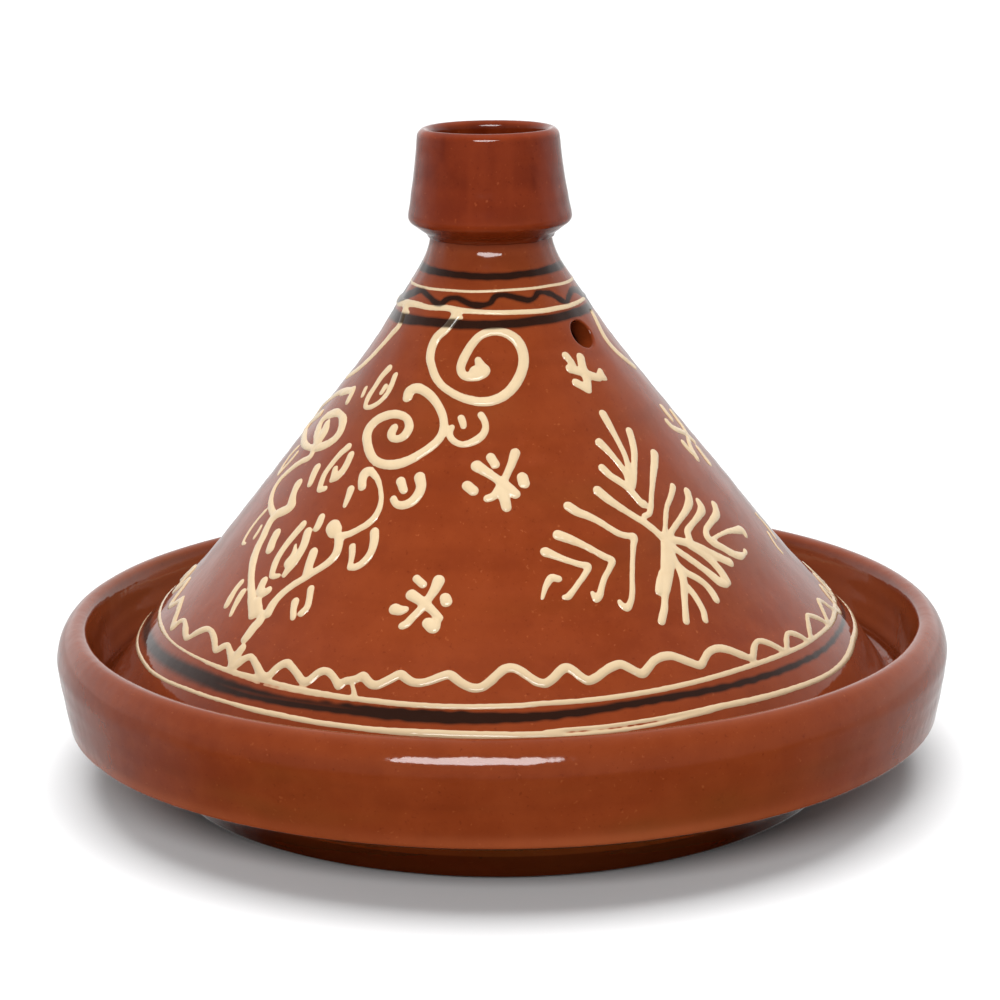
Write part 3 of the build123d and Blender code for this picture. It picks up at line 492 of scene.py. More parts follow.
marks = [(182.35, 176.0, 0.6), (176.0, 150.5 + 12.0, 0.4), (162.5, 143.5, 0.4), (143.5, 62.0, 1.2), (62.0, 47.0, 0.4), (47.0, 33.5, 0.9)]
outer_s = np.concatenate([spaced(s_of_z(a), s_of_z(b), st) for a, b, st in marks] + [[0.0]])
outer_r, outer_z = rz_of_s(outer_s)
top_r = np.concatenate([np.linspace(1.5, 19.2, 8), [19.75]])
top_z = np.concatenate([np.full(8, 182.42), [182.42]])
edge = catmull([(132.3, 33.5), (131.65, 31.95), (129.8, 31.3)], 0.35)[1:]
edge = np.vstack([edge, catmull([(129.8, 31.3), (125.8, 31.3)], 0.7)[1:], catmull([(125.8, 31.3), (124.45, 31.75), (124, 32.9)], 0.35)[1:]])
inner = catmull([(124, 32.9), (120.6, 38.8), (114.6, 46.6), (107.6, 54.4), (100, 62.4), (86, 77.8), (72.2, 95), (56.4, 114.9), (41, 134.5), (29.4, 150.6), (21, 161.8), (15.8, 167.9), (8, 172.8), (2.5, 174.1)], 0.2)
ins = np.concatenate([[0], np.cumsum(np.hypot(*np.diff(inner, axis=0).T))])
s_a, s_b = np.interp(141.0, inner[:, 1], ins), np.interp(161.0, inner[:, 1], ins)
inner_s = np.concatenate([spaced(0.0, s_a, 1.6), spaced(s_a, s_b, 0.45), spaced(s_b, ins[-1], 1.2), [ins[-1]]])[1:]
inner_r, inner_z = np.interp(inner_s, ins, inner[:, 0]), np.interp(inner_s, ins, inner[:, 1])

PR = np.concatenate([top_r, outer_r, edge[:, 0], inner_r])
PZ = np.concatenate([top_z, outer_z, edge[:, 1], inner_z])
PS = np.concatenate([np.full(len(top_r), S1 + 5), outer_s, np.full(len(edge) + len(inner_r), S0 - 5)])
NR = len(PR)
o_lo, o_hi = len(top_r), len(top_r) + len(outer_r)            # rows of the outer face
i_lo = NR - len(inner_r)                                      # rows of the inner face
LA = -np.pi + np.arange(NL) * 2 * np.pi / NL
AA, RR = np.meshgrid(LA, PR, indexing="ij")
_, ZZ = np.meshgrid(LA, PZ, indexing="ij")
_, SS = np.meshgrid(LA, PS, indexing="ij")
grid = place(AA, RR, ZZ)
verts = grid.reshape(-1, 3)
idx = np.arange(NL * NR).reshape(NL, NR)
quad_ok = np.ones((NL, NR - 1), bool)

VC = np.array([36.2, 0.0, 152.8])
VT = math.radians(18.0)
VN = np.array([math.cos(VT), 0.0, math.sin(VT)])
VU = np.array([0.0, 1.0, 0.0])
VV = np.array([-math.sin(VT), 0.0, math.cos(VT)])
ic = NL // 2
HC, HR_ = 27, 18
new_verts, new_quads, new_ink, new_painted_shade = [], [], [], []
n_old = len(verts)


def on_face(ca, cb, rows, guess):
    """Where the line through the vent at offset (ca, cb) meets a face: (angle, row)."""
    r_, z_ = PR[rows], PZ[rows]
    o = np.argsort(z_)
    lam = np.full_like(ca, guess)

    def g(l):
        p = VC + ca[:, None] * VU + cb[:, None] * VV + l[:, None] * VN
        return np.hypot(p[:, 0], p[:, 1]) - np.interp(p[:, 2], z_[o], r_[o]), p

    for _ in range(14):
        v0, _p = g(lam)
        v1, _p = g(lam + 0.01)
        lam = lam - v0 / np.where(np.abs(v1 - v0) < 1e-6, 1e-6, (v1 - v0)) * 0.01
    _v, p = g(lam)
    row = np.interp(p[:, 2], z_[o], rows[o].astype(float))
    return np.arctan2(p[:, 1], p[:, 0]), row, p


def row_point(a, row, off=0.0):
    r_ = np.interp(row, np.arange(NR), PR)
    z_ = np.interp(row, np.arange(NR), PZ)
    return place(a, r_ + off, z_)


rim_rings = {}
for side, rows, zc, guess in (("out", np.arange(o_lo, o_hi), 152.8, 0.0), ("in", np.arange(i_lo, NR), 150.57, -7.2)):
    jc = rows[np.argmin(np.abs(PZ[rows] - zc))]
    ja, jb = jc - HR_, jc + HR_
    ia, ib = ic - HC, ic + HC
    quad_ok[ia:ib, ja:jb] = False
    border = ([(i, ja) for i in range(ia, ib)] + [(ib, j) for j in range(ja, jb)]
              + [(i, jb) for i in range(ib, ia, -1)] + [(ia, j) for j in range(jb, ja, -1)])
    bi = np.array([b[0] for b in border]); bj = np.array([b[1] for b in border])
    ba = LA[bi]
    up = (PZ[bj] - zc)
    alpha = np.arctan2(up / math.cos(math.radians(36)), ba * np.interp(bj, np.arange(NR), PR))
    rad = 4.7 + 0.8
    fa, frow, _p = on_face(rad * np.cos(alpha), rad * np.sin(alpha), rows, guess)
    steps = 9
    rings = [idx[bi, bj]]
    for q in range(1, steps + 1):
        t = q / steps
        t = t ** 0.9
        a = ba * (1 - t) + fa * t
        row = bj * (1 - t) + frow * t
        rings.append(n_old + sum(len(x) for x in new_verts) + np.arange(len(a)))
        new_verts.append(row_point(a, row))
        z_here = np.interp(row, np.arange(NR), PZ)
        new_ink.append(sample(ink, a, s_of_z(z_here)) if side == "out" else np.zeros(len(a)))
        new_painted_shade.append(np.full(len(a), 0.0))
    for q in range(1, 6):
        beta = q / 5 * math.pi / 2
        rad = 4.7 + 0.8 * (1 - math.sin(beta))
        aa, arow, _p = on_face(rad * np.cos(alpha), rad * np.sin(alpha), rows, guess)
        depth = 0.8 * (1 - math.cos(beta)) * (-1 if side == "out" else 1)
        pt = row_point(aa, arow) + depth * VN
        rings.append(n_old + sum(len(x) for x in new_verts) + np.arange(len(aa)))
        new_verts.append(pt)
        new_ink.append(np.zeros(len(aa)))
        # painted shade: darker as the vent's rim rolls into the hole
        new_painted_shade.append(np.full(len(aa), 0.16 * q))
    rim_rings[side] = (rings, alpha, pt)
    for r0, r1 in zip(rings[:-1], rings[1:]):
        m = len(r0)
        k = np.arange(m); k2 = (k + 1) % m
        new_quads.append(np.column_stack([r0[k], r0[k2], r1[k2], r1[k]]))

# the bore between the two faces: the inner ring is read at the outer ring's angles
(ro, ao, po), (ri, ai, pi_) = rim_rings["out"], rim_rings["in"]
m = len(ao)
oo = np.argsort(np.mod(ao, 2 * np.pi)); oi = np.argsort(np.mod(ai, 2 * np.pi))
lo_, li_ = ro[-1][oo], ri[-1][oi]
po_s, pi_s = po[oo], pi_[oi]
prev = lo_
for q in range(1, 7):
    t = q / 7
    nxt = n_old + sum(len(x) for x in new_verts) + np.arange(m)
    new_verts.append(po_s * (1 - t) + pi_s * t)
    new_ink.append(np.zeros(m))
    # painted shade inside the vent's bore
    new_painted_shade.append(np.full(m, 0.55))
    k = np.arange(m); k2 = (k + 1) % m
    new_quads.append(np.column_stack([prev[k], prev[k2], nxt[k2], nxt[k]]))
    prev = nxt
k = np.arange(m); k2 = (k + 1) % m
new_quads.append(np.column_stack([prev[k], prev[k2], li_[k2], li_[k]]))

ii, jj = np.nonzero(quad_ok)
i2 = (ii + 1) % NL
grid_quads = np.column_stack([idx[ii, jj], idx[i2, jj], idx[i2, jj + 1], idx[ii, jj + 1]])
allv = np.vstack([verts] + new_verts)
poles = np.vstack([place(np.zeros(1), np.zeros(1), np.array([182.42]))[0], place(np.zeros(1), np.zeros(1), np.array([174.2]))[0]])
pa, pb = len(allv), len(allv) + 1
allv = np.vstack([allv, poles])
k = np.arange(NL); k2 = (k + 1) % NL
tris = np.vstack([np.column_stack([np.full(NL, pa), idx[k2, 0], idx[k, 0]]), np.column_stack([np.full(NL, pb), idx[k, NR - 1], idx[k2, NR - 1]])])
n_extra = len(allv) - n_old
ink_l = np.concatenate([sample(ink, AA.ravel(), SS.ravel())] + new_ink + [np.zeros(2)])
# darker glaze low on the skirt, below about 64 mm
skirt_darker = 0.20 * (1 - smooth(ZZ, 55.0, 64.0)) * (0.75 + 0.25 * throw_b(AA, ZZ))
# painted shade under the knob, at the top of the neck
painted_shade_l = np.where((np.arange(NR)[None, :] < o_hi) & (AA > -99), np.clip(0.75 * smooth(ZZ, 179.0, 182.2) + skirt_darker, 0, 1), 0.0).ravel()
painted_shade_l = np.concatenate([painted_shade_l] + new_painted_shade + [np.zeros(2)])
bare_l = np.concatenate([((PZ[None, :] < 31.9) & (PR[None, :] > 124.3) & (np.arange(NR)[None, :] >= o_hi) & (AA > -99)).astype(float).ravel(), np.zeros(n_extra)])
lid = build("lid_cone", allv, np.vstack([grid_quads] + new_quads), tris, {"ink": ink_l, "bare": bare_l, "painted_shade": painted_shade_l})


# make every face point outward
def outward(ob):
    import bmesh
    bm = bmesh.new()
    bm.from_mesh(ob.data)
    bmesh.ops.recalc_face_normals(bm, faces=bm.faces[:])
    bm.to_mesh(ob.data)
    bm.free()
    ob.data.update()


outward(lid)


# ------------------------------------------------------------------ raised cream slip, as its own closed body
def slip_body(name, field, floor_at=-0.22, bottom=-0.45):
    f = np.maximum(field, floor_at)
    up = field > floor_at
    cell = up[:, :-1] | up[:, 1:]
    cell = cell | np.roll(cell, -1, axis=0)
    # cells that meet only at a corner are joined, so that no edge is shared by four faces
    for _ in range(6):
        along = np.roll(cell, -1, axis=0)
        d1 = cell[:, :-1] & along[:, 1:] & ~cell[:, 1:] & ~along[:, :-1]
        d2 = cell[:, 1:] & along[:, :-1] & ~cell[:, :-1] & ~along[:, 1:]
        if not (d1.any() or d2.any()):
            break
        cell[:, 1:] |= d1
        cell[:, :-1] |= d2
    used = np.zeros((NA, NS), bool)
    used[:, :-1] |= cell
    used[:, 1:] |= cell
    nxt = np.zeros((NA, NS), bool)
    nxt[:, :-1] |= cell
    nxt[:, 1:] |= cell
    used |= np.roll(nxt, 1, axis=0)
    number = np.full((NA, NS), -1)
    ui, uj = np.nonzero(used)
    number[ui, uj] = np.arange(len(ui))
    a, s = GA[ui], GS[uj]
    r, z = rz_of_s(s)
    # outward direction of the profile
    r1, z1 = rz_of_s(np.minimum(s + 0.4, _os[-1]))
    r0, z0 = rz_of_s(np.maximum(s - 0.4, 0))
    tr, tz = r1 - r0, z1 - z0
    ln = np.hypot(tr, tz)
    nr, nz = tz / ln, -tr / ln
    h = f[ui, uj]
    base = place(a, r, z)
    nrm = np.stack([nr * np.cos(a), nr * np.sin(a), nz], -1)
    top = base + nrm * h[:, None]
    bot = base + nrm * bottom
    n = len(ui)
    ci, cj = np.nonzero(cell)
    cn = (ci + 1) % NA
    q = np.column_stack([number[ci, cj], number[cn, cj], number[cn, cj + 1], number[ci, cj + 1]])
    faces = [q, q[:, ::-1] + n]
    for di, dj, e0, e1 in ((-1, 0, 0, 3), (1, 0, 2, 1), (0, -1, 1, 0), (0, 1, 3, 2)):
        nb = np.roll(cell, -di, axis=0) if di else cell
        if dj:
            nb = np.zeros_like(cell)
            if dj == 1:
                nb[:, :-1] = cell[:, 1:]
            else:
                nb[:, 1:] = cell[:, :-1]
        open_side = ~nb[ci, cj]
        a0, a1 = q[open_side, e0], q[open_side, e1]
        faces.append(np.column_stack([a0, a1, a1 + n, a0 + n]))
    inkv = ink[ui, uj]
    ob = build(name, np.vstack([top, bot]), np.vstack(faces), None, {"thick": np.concatenate([h, h]), "ink": np.concatenate([inkv, inkv])})
    return ob


slip = slip_body("lid_slip_trails", cream)


# ------------------------------------------------------------------ turned pieces
def lathe(name, sections, columns, lean, amount, poles, painted_shade=None, glaze_break_and_sheen=None, **k):
    p = np.vstack(sections)
    keep = np.concatenate([[True], np.hypot(*np.diff(p, axis=0).T) > 1e-4])
    p = p[keep]
    a = -np.pi + np.arange(columns) * 2 * np.pi / columns
    A_, R_ = np.meshgrid(a, p[:, 0], indexing="ij")
    _, Z_ = np.meshgrid(a, p[:, 1], indexing="ij")
    g = place(A_, R_, Z_, lean=lean, amount=amount, **k)
    nr = len(p)
    ix = np.arange(columns * nr).reshape(columns, nr)
    nx = np.roll(ix, -1, axis=0)
    q = np.stack([ix[:, :-1], nx[:, :-1], nx[:, 1:], ix[:, 1:]], -1).reshape(-1, 4)
    v = g.reshape(-1, 3)
    pv = np.vstack([place(np.zeros(1), np.zeros(1), np.array([z]), lean=lean)[0] for z in poles])
    n = len(v)
    t = np.vstack([np.column_stack([np.full(columns, n), nx[:, 0], ix[:, 0]]), np.column_stack([np.full(columns, n + 1), ix[:, -1], nx[:, -1]])])
    pl = np.zeros(nr) if painted_shade is None else painted_shade(p[:, 0], p[:, 1])
    ws = np.zeros(nr) if glaze_break_and_sheen is None else glaze_break_and_sheen(p[:, 0], p[:, 1])
    drift = 1 + 0.35 * throw_b(A_, Z_).ravel()
    return build(name, np.vstack([v, pv]), q, t, {"painted_shade": np.concatenate([np.tile(pl, columns), [0, 0]]),
                                                  "glaze_break_and_sheen": np.concatenate([np.clip(np.tile(ws, columns) * drift, 0, 1), [0, 0]])}), p


dish_sections = [
    catmull([(2.0, 0.35), (109.4, 0.35)], 3.0),
    catmull([(109.4, 0.35), (111.2, 0.85), (112, 2.2)], 0.3),
    catmull([(112, 2.2), (114.6, 6.2), (120.6, 12.8), (129, 18.4), (137, 21.4), (144.9, 22.55)], 0.8),
    catmull([(144.9, 22.55), (145.9, 22.85), (146.45, 23.45), (146.75, 24.6)], 0.2),
    catmull([(146.75, 24.6), (148.1, 31.5), (149.35, 39), (149.95, 43.9), (149.72, 46.6), (148.8, 50.0), (146.8, 53.4), (143.8, 55.5), (140.8, 54.9), (139.3, 52.4), (137.5, 43.0), (135.6, 34.2)], 0.55),
    catmull([(135.6, 34.2), (134.6, 32.1), (133.0, 31)], 0.3),
    catmull([(133.0, 31), (125.5, 31)], 0.7),
    catmull([(125.5, 31), (124, 30.35), (123.3, 28.9)], 0.3),
    catmull([(123.3, 28.9), (120.4, 21.6), (113, 14.4), (104, 11), (94, 10)], 1.0),
    catmull([(94, 10), (2.0, 10)], 1.5),
]


def dish_painted_shade(r, z):
    # painted shade: darker under the rim band, on the foot and in the ledge's corner, where shade falls
    under = (1 - smooth(z, 20.5, 23.0)) * (r > 100) * (z > 0.2) * ((r > 112) | (z < 9.5))
    corner_shade = np.exp(-(((r - 135.6) / 1.6) ** 2 + ((z - 31.6) / 1.6) ** 2)) * 0.6
    under = np.where((r < 126) & (z > 9.9), 0.0, under)
    return np.clip(0.85 * under + corner_shade, 0, 1)


def dish_break_and_sheen(r, z):
    # the glaze breaks paler over the lip and the ledge's nose; the paler strip at the crest of the band's lower edge is
    # a painted reflection and the paler band down the rim's inner wall is a painted sheen
    crest_reflection = np.exp(-((z - 24.6) / 2.6) ** 2) * (r > 144) * 0.55
    lip = np.exp(-((z - 55.5) / 1.0) ** 2) * 0.20
    # painted sheen down the rim's inner wall
    wall = smooth(z, 33.0, 38.0) * (1 - smooth(z, 50.0, 54.0)) * (r < 141.5) * (r > 133) * 0.75
    nose = np.exp(-(((r - 124.3) / 1.2) ** 2 + ((z - 30.6) / 1.2) ** 2)) * 0.6
    return np.clip(crest_reflection + lip + wall + nose, 0, 1)


dish, dp = lathe("dish_body", dish_sections, 960, False, 1.0, (0.35, 10.0), painted_shade=dish_painted_shade, glaze_break_and_sheen=dish_break_and_sheen, big=0.22, rings=0.05, small=0.03)
outward(dish)

# unglazed, wiped underside the dish stands on
base_sections = [
    catmull([(1.5, 0.0), (108.2, 0.0)], 2.2),
    catmull([(108.2, 0.0), (108.9, 0.2), (109.2, 0.55)], 0.2),
    catmull([(109.2, 0.55), (1.5, 0.55)], 4.0),
]
base_piece, _bp = lathe("dish_base", base_sections, 480, False, 0.5, (0.0, 0.55), big=0.1, rings=0.0, small=0.1)
co = np.zeros(len(base_piece.data.vertices) * 3, np.float32)
base_piece.data.vertices.foreach_get("co", co)
co = co.reshape(-1, 3)
rad = np.hypot(co[:, 0], co[:, 1]) / MM
ang = np.arctan2(co[:, 1], co[:, 0])
# string marks where the pot was cut from the wheel, only upward so that it stands flat
cut = 0.5 + 0.5 * np.sin(rad * 1.25 + 2.2 * np.sin(ang + 0.7) + 0.05 * rad * np.cos(ang))
under = co[:, 2] < 0.0003
co[under, 2] += (0.00022 * cut * np.clip((108 - rad) / 6, 0, 1))[under]
base_piece.data.vertices.foreach_set("co", co.ravel())
base_piece.data.update()
outward(base_piece)

knob_sections = [
    catmull([(1.2, 182.45), (19.2, 182.45)], 1.5),
    catmull([(19.2, 182.45), (19.65, 182.0), (20.2, 181.75), (20.6, 182.0), (20.95, 182.7), (21.5, 183.45)], 0.2),
    catmull([(21.5, 183.45), (22.7, 184.25), (24.9, 185.9), (26.3, 187.0), (26.85, 188.2), (26.8, 189.7), (26.5, 191.6), (25.9, 195), (25.1, 200), (24.0, 208), (23.45, 213.8), (22.95, 216.3), (21.2, 217.6), (19.6, 216.7), (19.05, 214.0), (19.6, 206), (20.5, 197), (19.7, 191.4), (16.2, 188.9), (12, 188.4)], 0.3),
    catmull([(12, 188.4), (1.0, 188.4)], 0.8),
]


def knob_painted_shade(r, z):
    # painted shade: darker deep inside the cup and under the knob's bevel, where shade falls
    inside = (r < 20.9) & (z > 187.5)
    return np.where(inside, 0.35 * (1 - smooth(z, 189, 206)), 0.95 * (1 - smooth(z, 184.5, 188.2)))


def knob_wash(r, z):
    return np.clip(np.exp(-((z - 216.9) / 1.1) ** 2) * 0.40 + np.exp(-((z - 188.6) / 1.4) ** 2) * (r > 25) * 0.30, 0, 1)


knob, kp = lathe("knob_cup", knob_sections, 640, True, 1.0, (182.45, 188.4), painted_shade=knob_painted_shade, glaze_break_and_sheen=knob_wash, big=0.14, rings=0.022, small=0.02)
# the clay pressed into the joint under the knob is uneven
co = np.zeros(len(knob.data.vertices) * 3, np.float32)
knob.data.vertices.foreach_get("co", co)
co = co.reshape(-1, 3)
centre = np.array([-2.0 * LEAN_DIR[0], -2.0 * LEAN_DIR[1]]) * MM
ang = np.arctan2(co[:, 1] - centre[1], co[:, 0] - centre[0])
seam = np.exp(-((co[:, 2] / MM - 182.2) / 0.75) ** 2) * (np.hypot(co[:, 0] - centre[0], co[:, 1] - centre[1]) > 0.0185)
press = waves(31, (5, 34), (0.0, 0.1), 14)
push = 0.06 * press(ang, 0.0) * seam * MM
co[:, 0] += push * np.cos(ang)
co[:, 1] += push * np.sin(ang)
co[:, 2] += 0.10 * waves(32, (3, 20), (0.0, 0.1), 10)(ang, 0.0) * seam * MM
knob.data.vertices.foreach_set("co", co.ravel())
knob.data.update()
outward(knob)
outward(slip)


# ------------------------------------------------------------------ materials
def new_material(name):
    m = bpy.data.materials.new(name)
    m.use_nodes = True
    m.node_tree.nodes.clear()
    return m, m.node_tree


class Net:
    """Short names for building a node tree."""

    def __init__(self, tree):
        self.t = tree

    def add(self, kind, **inputs):
        n = self.t.nodes.new(kind)
        for k, v in inputs.items():
            self.set(n, k, v)
        return n

    def set(self, n, key, v):
        sock = n.inputs[int(key[1:])] if key[0] == "_" and key[1:].isdigit() else n.inputs[key.replace("_", " ")]
        if isinstance(v, bpy.types.NodeSocket):
            self.t.links.new(v, sock)
        else:
            sock.default_value = v

    def noise(self, vec, scale, detail=2.0, rough=0.5, dist=0.0):
        n = self.add("ShaderNodeTexNoise", Scale=scale, Detail=detail, Roughness=rough, Distortion=dist)
        self.t.links.new(vec, n.inputs["Vector"])
        return n.outputs["Fac"]

    def ramp(self, fac, lo, hi, a=0.0, b=1.0, smoothstep=True):
        n = self.t.nodes.new("ShaderNodeMapRange")
        if smoothstep:
            n.interpolation_type = "SMOOTHSTEP"
        self.t.links.new(fac, n.inputs["Value"])
        n.inputs["From Min"].default_value = lo
        n.inputs["From Max"].default_value = hi
        n.inputs["To Min"].default_value = a
        n.inputs["To Max"].default_value = b
        return n.outputs["Result"]

    def mix(self, fac, a, b):
        n = self.t.nodes.new("ShaderNodeMix")
        n.data_type = "RGBA"
        for sock, v in ((n.inputs[0], fac), (n.inputs[6], a), (n.inputs[7], b)):
            if isinstance(v, bpy.types.NodeSocket):
                self.t.links.new(v, sock)
            else:
                sock.default_value = v
        return n.outputs[2]

    def math(self, op, a, b=0.0):
        n = self.t.nodes.new("ShaderNodeMath")
        n.operation = op
        for i, v in enumerate((a, b)):
            if isinstance(v, bpy.types.NodeSocket):
                self.t.links.new(v, n.inputs[i])
            else:
                n.inputs[i].default_value = v
        return n.outputs[0]

    def attr(self, name):
        n = self.t.nodes.new("ShaderNodeAttribute")
        n.attribute_name = name
        return n.outputs["Fac"]

    def stretched(self, vec, sx, sy, sz):
        n = self.t.nodes.new("ShaderNodeMapping")
        self.t.links.new(vec, n.inputs["Vector"])
        n.inputs["Scale"].default_value = (sx, sy, sz)
        return n.outputs["Vector"]

    def bump(self, height, strength, distance, normal=None):
        n = self.t.nodes.new("ShaderNodeBump")
        n.inputs["Strength"].default_value = strength
        n.inputs["Distance"].default_value = distance
        self.t.links.new(height, n.inputs["Height"])
        if normal is not None:
            self.t.links.new(normal, n.inputs["Normal"])
        return n.outputs["Normal"]


CLAY_MID = (0.178, 0.0285, 0.0058, 1)
CLAY_LOW = (0.112, 0.0142, 0.0025, 1)
CLAY_HIGH = (0.238, 0.0450, 0.0108, 1)
INK = (0.0130, 0.0045, 0.0022, 1)
CREAM = (0.590, 0.455, 0.288, 1)
CREAM_DEEP = (0.530, 0.378, 0.222, 1)
CREAM_EDGE = (0.370, 0.165, 0.085, 1)


def glazed(name, with_ink=True, with_bare=False, rough=0.30, coat_rough=0.075, tone=(1, 1, 1), streaks=0.10, tints=0.30, mottle=0.30, flecks=0.30):
    m, t = new_material(name)
    n = Net(t)
    out = n.add("ShaderNodeOutputMaterial")
    bsdf = n.add("ShaderNodeBsdfPrincipled")
    t.links.new(bsdf.outputs[0], out.inputs[0])
    co = n.add("ShaderNodeTexCoord").outputs["Object"]
    # large soft clouds, throwing bands and fine speckle of the clay body
    cloud = n.ramp(n.noise(co, 14.0, 3.0, 0.55), 0.35, 0.68)
    band = n.ramp(n.noise(n.stretched(co, 3.0, 3.0, 130.0), 1.0, 2.0, 0.5), 0.40, 0.66)
    mott = n.ramp(n.noise(co, 95.0, 4.0, 0.62), 0.38, 0.66)
    grit = n.ramp(n.noise(co, 680.0, 3.0, 0.65), 0.60, 0.74)
    grog = n.ramp(n.noise(co, 640.0, 2.0, 0.6), 0.66, 0.76)
    CLAY, CLAY_DARK, CLAY_WARM = (tuple(x * y for x, y in zip(c_[:3], tone)) + (1,) for c_ in (CLAY_MID, CLAY_LOW, CLAY_HIGH))
    c = n.mix(n.math("MULTIPLY", cloud, 0.34), CLAY, CLAY_WARM)
    c = n.mix(n.math("MULTIPLY", band, 0.26), c, CLAY_DARK)
    run = n.noise(n.stretched(co, 105.0, 105.0, 9.0), 1.0, 2.0, 0.55)
    c = n.mix(n.math("MULTIPLY", n.ramp(run, 0.52, 0.74), streaks), c, CLAY_WARM)
    c = n.mix(n.math("MULTIPLY", n.ramp(run, 0.48, 0.28), streaks), c, CLAY_DARK)
    c = n.mix(n.math("MULTIPLY", mott, mottle), c, CLAY_WARM)
    c = n.mix(n.math("MULTIPLY", grit, 0.55), c, CLAY_DARK)
    c = n.mix(n.math("MULTIPLY", grog, flecks), c, tuple(1.7 * x * y for x, y in zip(CLAY_WARM[:3], (1.0, 1.5, 2.0))) + (1,))
    olive = n.ramp(n.noise(n.stretched(co, 7.0, 7.0, 26.0), 1.0, 3.0, 0.6), 0.50, 0.74)
    c = n.mix(n.math("MULTIPLY", olive, tints), c, (0.135 * tone[0], 0.042 * tone[1], 0.0075 * tone[2], 1))
    # painted shade: this attribute darkens the glaze in hollows, under overhangs and inside the vent, and darkens the
    # lid's skirt
    c = n.mix(n.math("MULTIPLY", n.attr("painted_shade"), 0.62), c, (0.050, 0.0058, 0.0012, 1))
    # paler glaze where it breaks over edges, together with the painted reflection and painted sheen on the dish
    c = n.mix(n.math("MULTIPLY", n.attr("glaze_break_and_sheen"), 0.60), c, tuple(1.55 * x * y for x, y in zip(CLAY_WARM[:3], (1.0, 1.3, 1.9))) + (1,))
    if with_ink:
        k = n.attr("ink")
        c = n.mix(n.ramp(k, 0.05, 0.75, 0.0, 0.97, False), c, INK)
    rn = n.ramp(n.noise(co, 60.0, 3.0, 0.6), 0.3, 0.7, rough - 0.05, rough + 0.10)
    height = n.math("MULTIPLY", n.noise(co, 210.0, 2.0, 0.5), 1.0)
    wav = n.noise(co, 46.0, 2.0, 0.5)
    nb = n.bump(wav, 0.22, 0.0016)
    nb = n.bump(height, 0.22, 0.00040, nb)
    if with_bare:
        b = n.attr("bare")
        c = n.mix(b, c, (0.42, 0.155, 0.065, 1))
        rn = n.math("MAXIMUM", rn, n.math("MULTIPLY", b, 0.85))
    t.links.new(c, bsdf.inputs["Base Color"])
    t.links.new(rn, bsdf.inputs["Roughness"])
    bsdf.inputs["Specular IOR Level"].default_value = 0.0
    bsdf.inputs["Coat Weight"].default_value = 1.0
    bsdf.inputs["Coat Roughness"].default_value = coat_rough
    bsdf.inputs["Coat IOR"].default_value = 1.45
    t.links.new(nb, bsdf.inputs["Normal"])
    t.links.new(nb, bsdf.inputs["Coat Normal"])
    return m


def cream_slip(name):
    m, t = new_material(name)
    n = Net(t)
    out = n.add("ShaderNodeOutputMaterial")
    bsdf = n.add("ShaderNodeBsdfPrincipled")
    t.links.new(bsdf.outputs[0], out.inputs[0])
    co = n.add("ShaderNodeTexCoord").outputs["Object"]
    thick = n.attr("thick")
    body = n.ramp(n.noise(co, 130.0, 3.0, 0.6), 0.35, 0.70)
    fleck = n.ramp(n.noise(co, 800.0, 2.0, 0.6), 0.66, 0.76)
    c = n.mix(n.math("MULTIPLY", body, 0.32), CREAM, CREAM_DEEP)
    c = n.mix(n.math("MULTIPLY", fleck, 0.30), c, (0.60, 0.33, 0.16, 1))
    # darker and browner low on the skirt
    sep = n.t.nodes.new("ShaderNodeSeparateXYZ")
    n.t.links.new(co, sep.inputs[0])
    c = n.mix(n.ramp(sep.outputs[2], 0.078, 0.058, 0.0, 0.85), c, (0.500, 0.372, 0.228, 1))
    c = n.mix(n.ramp(thick, -0.03, 0.11, 0.0, 1.0, True), CREAM_EDGE, c)
    c = n.mix(n.ramp(n.attr("ink"), 0.10, 0.80, 0.0, 0.93, False), c, INK)
    t.links.new(c, bsdf.inputs["Base Color"])
    t.links.new(n.ramp(n.noise(co, 90.0, 2.0, 0.5), 0.3, 0.7, 0.26, 0.42), bsdf.inputs["Roughness"])
    nb = n.bump(n.noise(co, 320.0, 2.0, 0.5), 0.25, 0.00030)
    t.links.new(nb, bsdf.inputs["Normal"])
    t.links.new(nb, bsdf.inputs["Coat Normal"])
    bsdf.inputs["Specular IOR Level"].default_value = 0.0
    bsdf.inputs["Coat Weight"].default_value = 1.0
    bsdf.inputs["Coat Roughness"].default_value = 0.05
    bsdf.inputs["Coat IOR"].default_value = 1.45
    return m


def bare_clay(name):
    m, t = new_material(name)
    n = Net(t)
    out = n.add("ShaderNodeOutputMaterial")
    bsdf = n.add("ShaderNodeBsdfPrincipled")
    t.links.new(bsdf.outputs[0], out.inputs[0])
    co = n.add("ShaderNodeTexCoord").outputs["Object"]
    a = n.ramp(n.noise(co, 30.0, 4.0, 0.6), 0.3, 0.7)
    b = n.ramp(n.noise(co, 700.0, 3.0, 0.65), 0.45, 0.72)
    s = n.ramp(n.noise(co, 9.0, 2.0, 0.5), 0.45, 0.70)
    c = n.mix(a, (0.36, 0.130, 0.055, 1), (0.46, 0.190, 0.085, 1))
    c = n.mix(n.math("MULTIPLY", b, 0.5), c, (0.24, 0.075, 0.032, 1))
    c = n.mix(n.math("MULTIPLY", s, 0.35), c, (0.20, 0.075, 0.040, 1))
    t.links.new(c, bsdf.inputs["Base Color"])
    t.links.new(n.ramp(b, 0.0, 1.0, 0.78, 0.95), bsdf.inputs["Roughness"])
    nb = n.bump(n.noise(co, 650.0, 4.0, 0.65), 0.5, 0.0004)
    t.links.new(nb, bsdf.inputs["Normal"])
    bsdf.inputs["Specular IOR Level"].default_value = 0.25
    return m


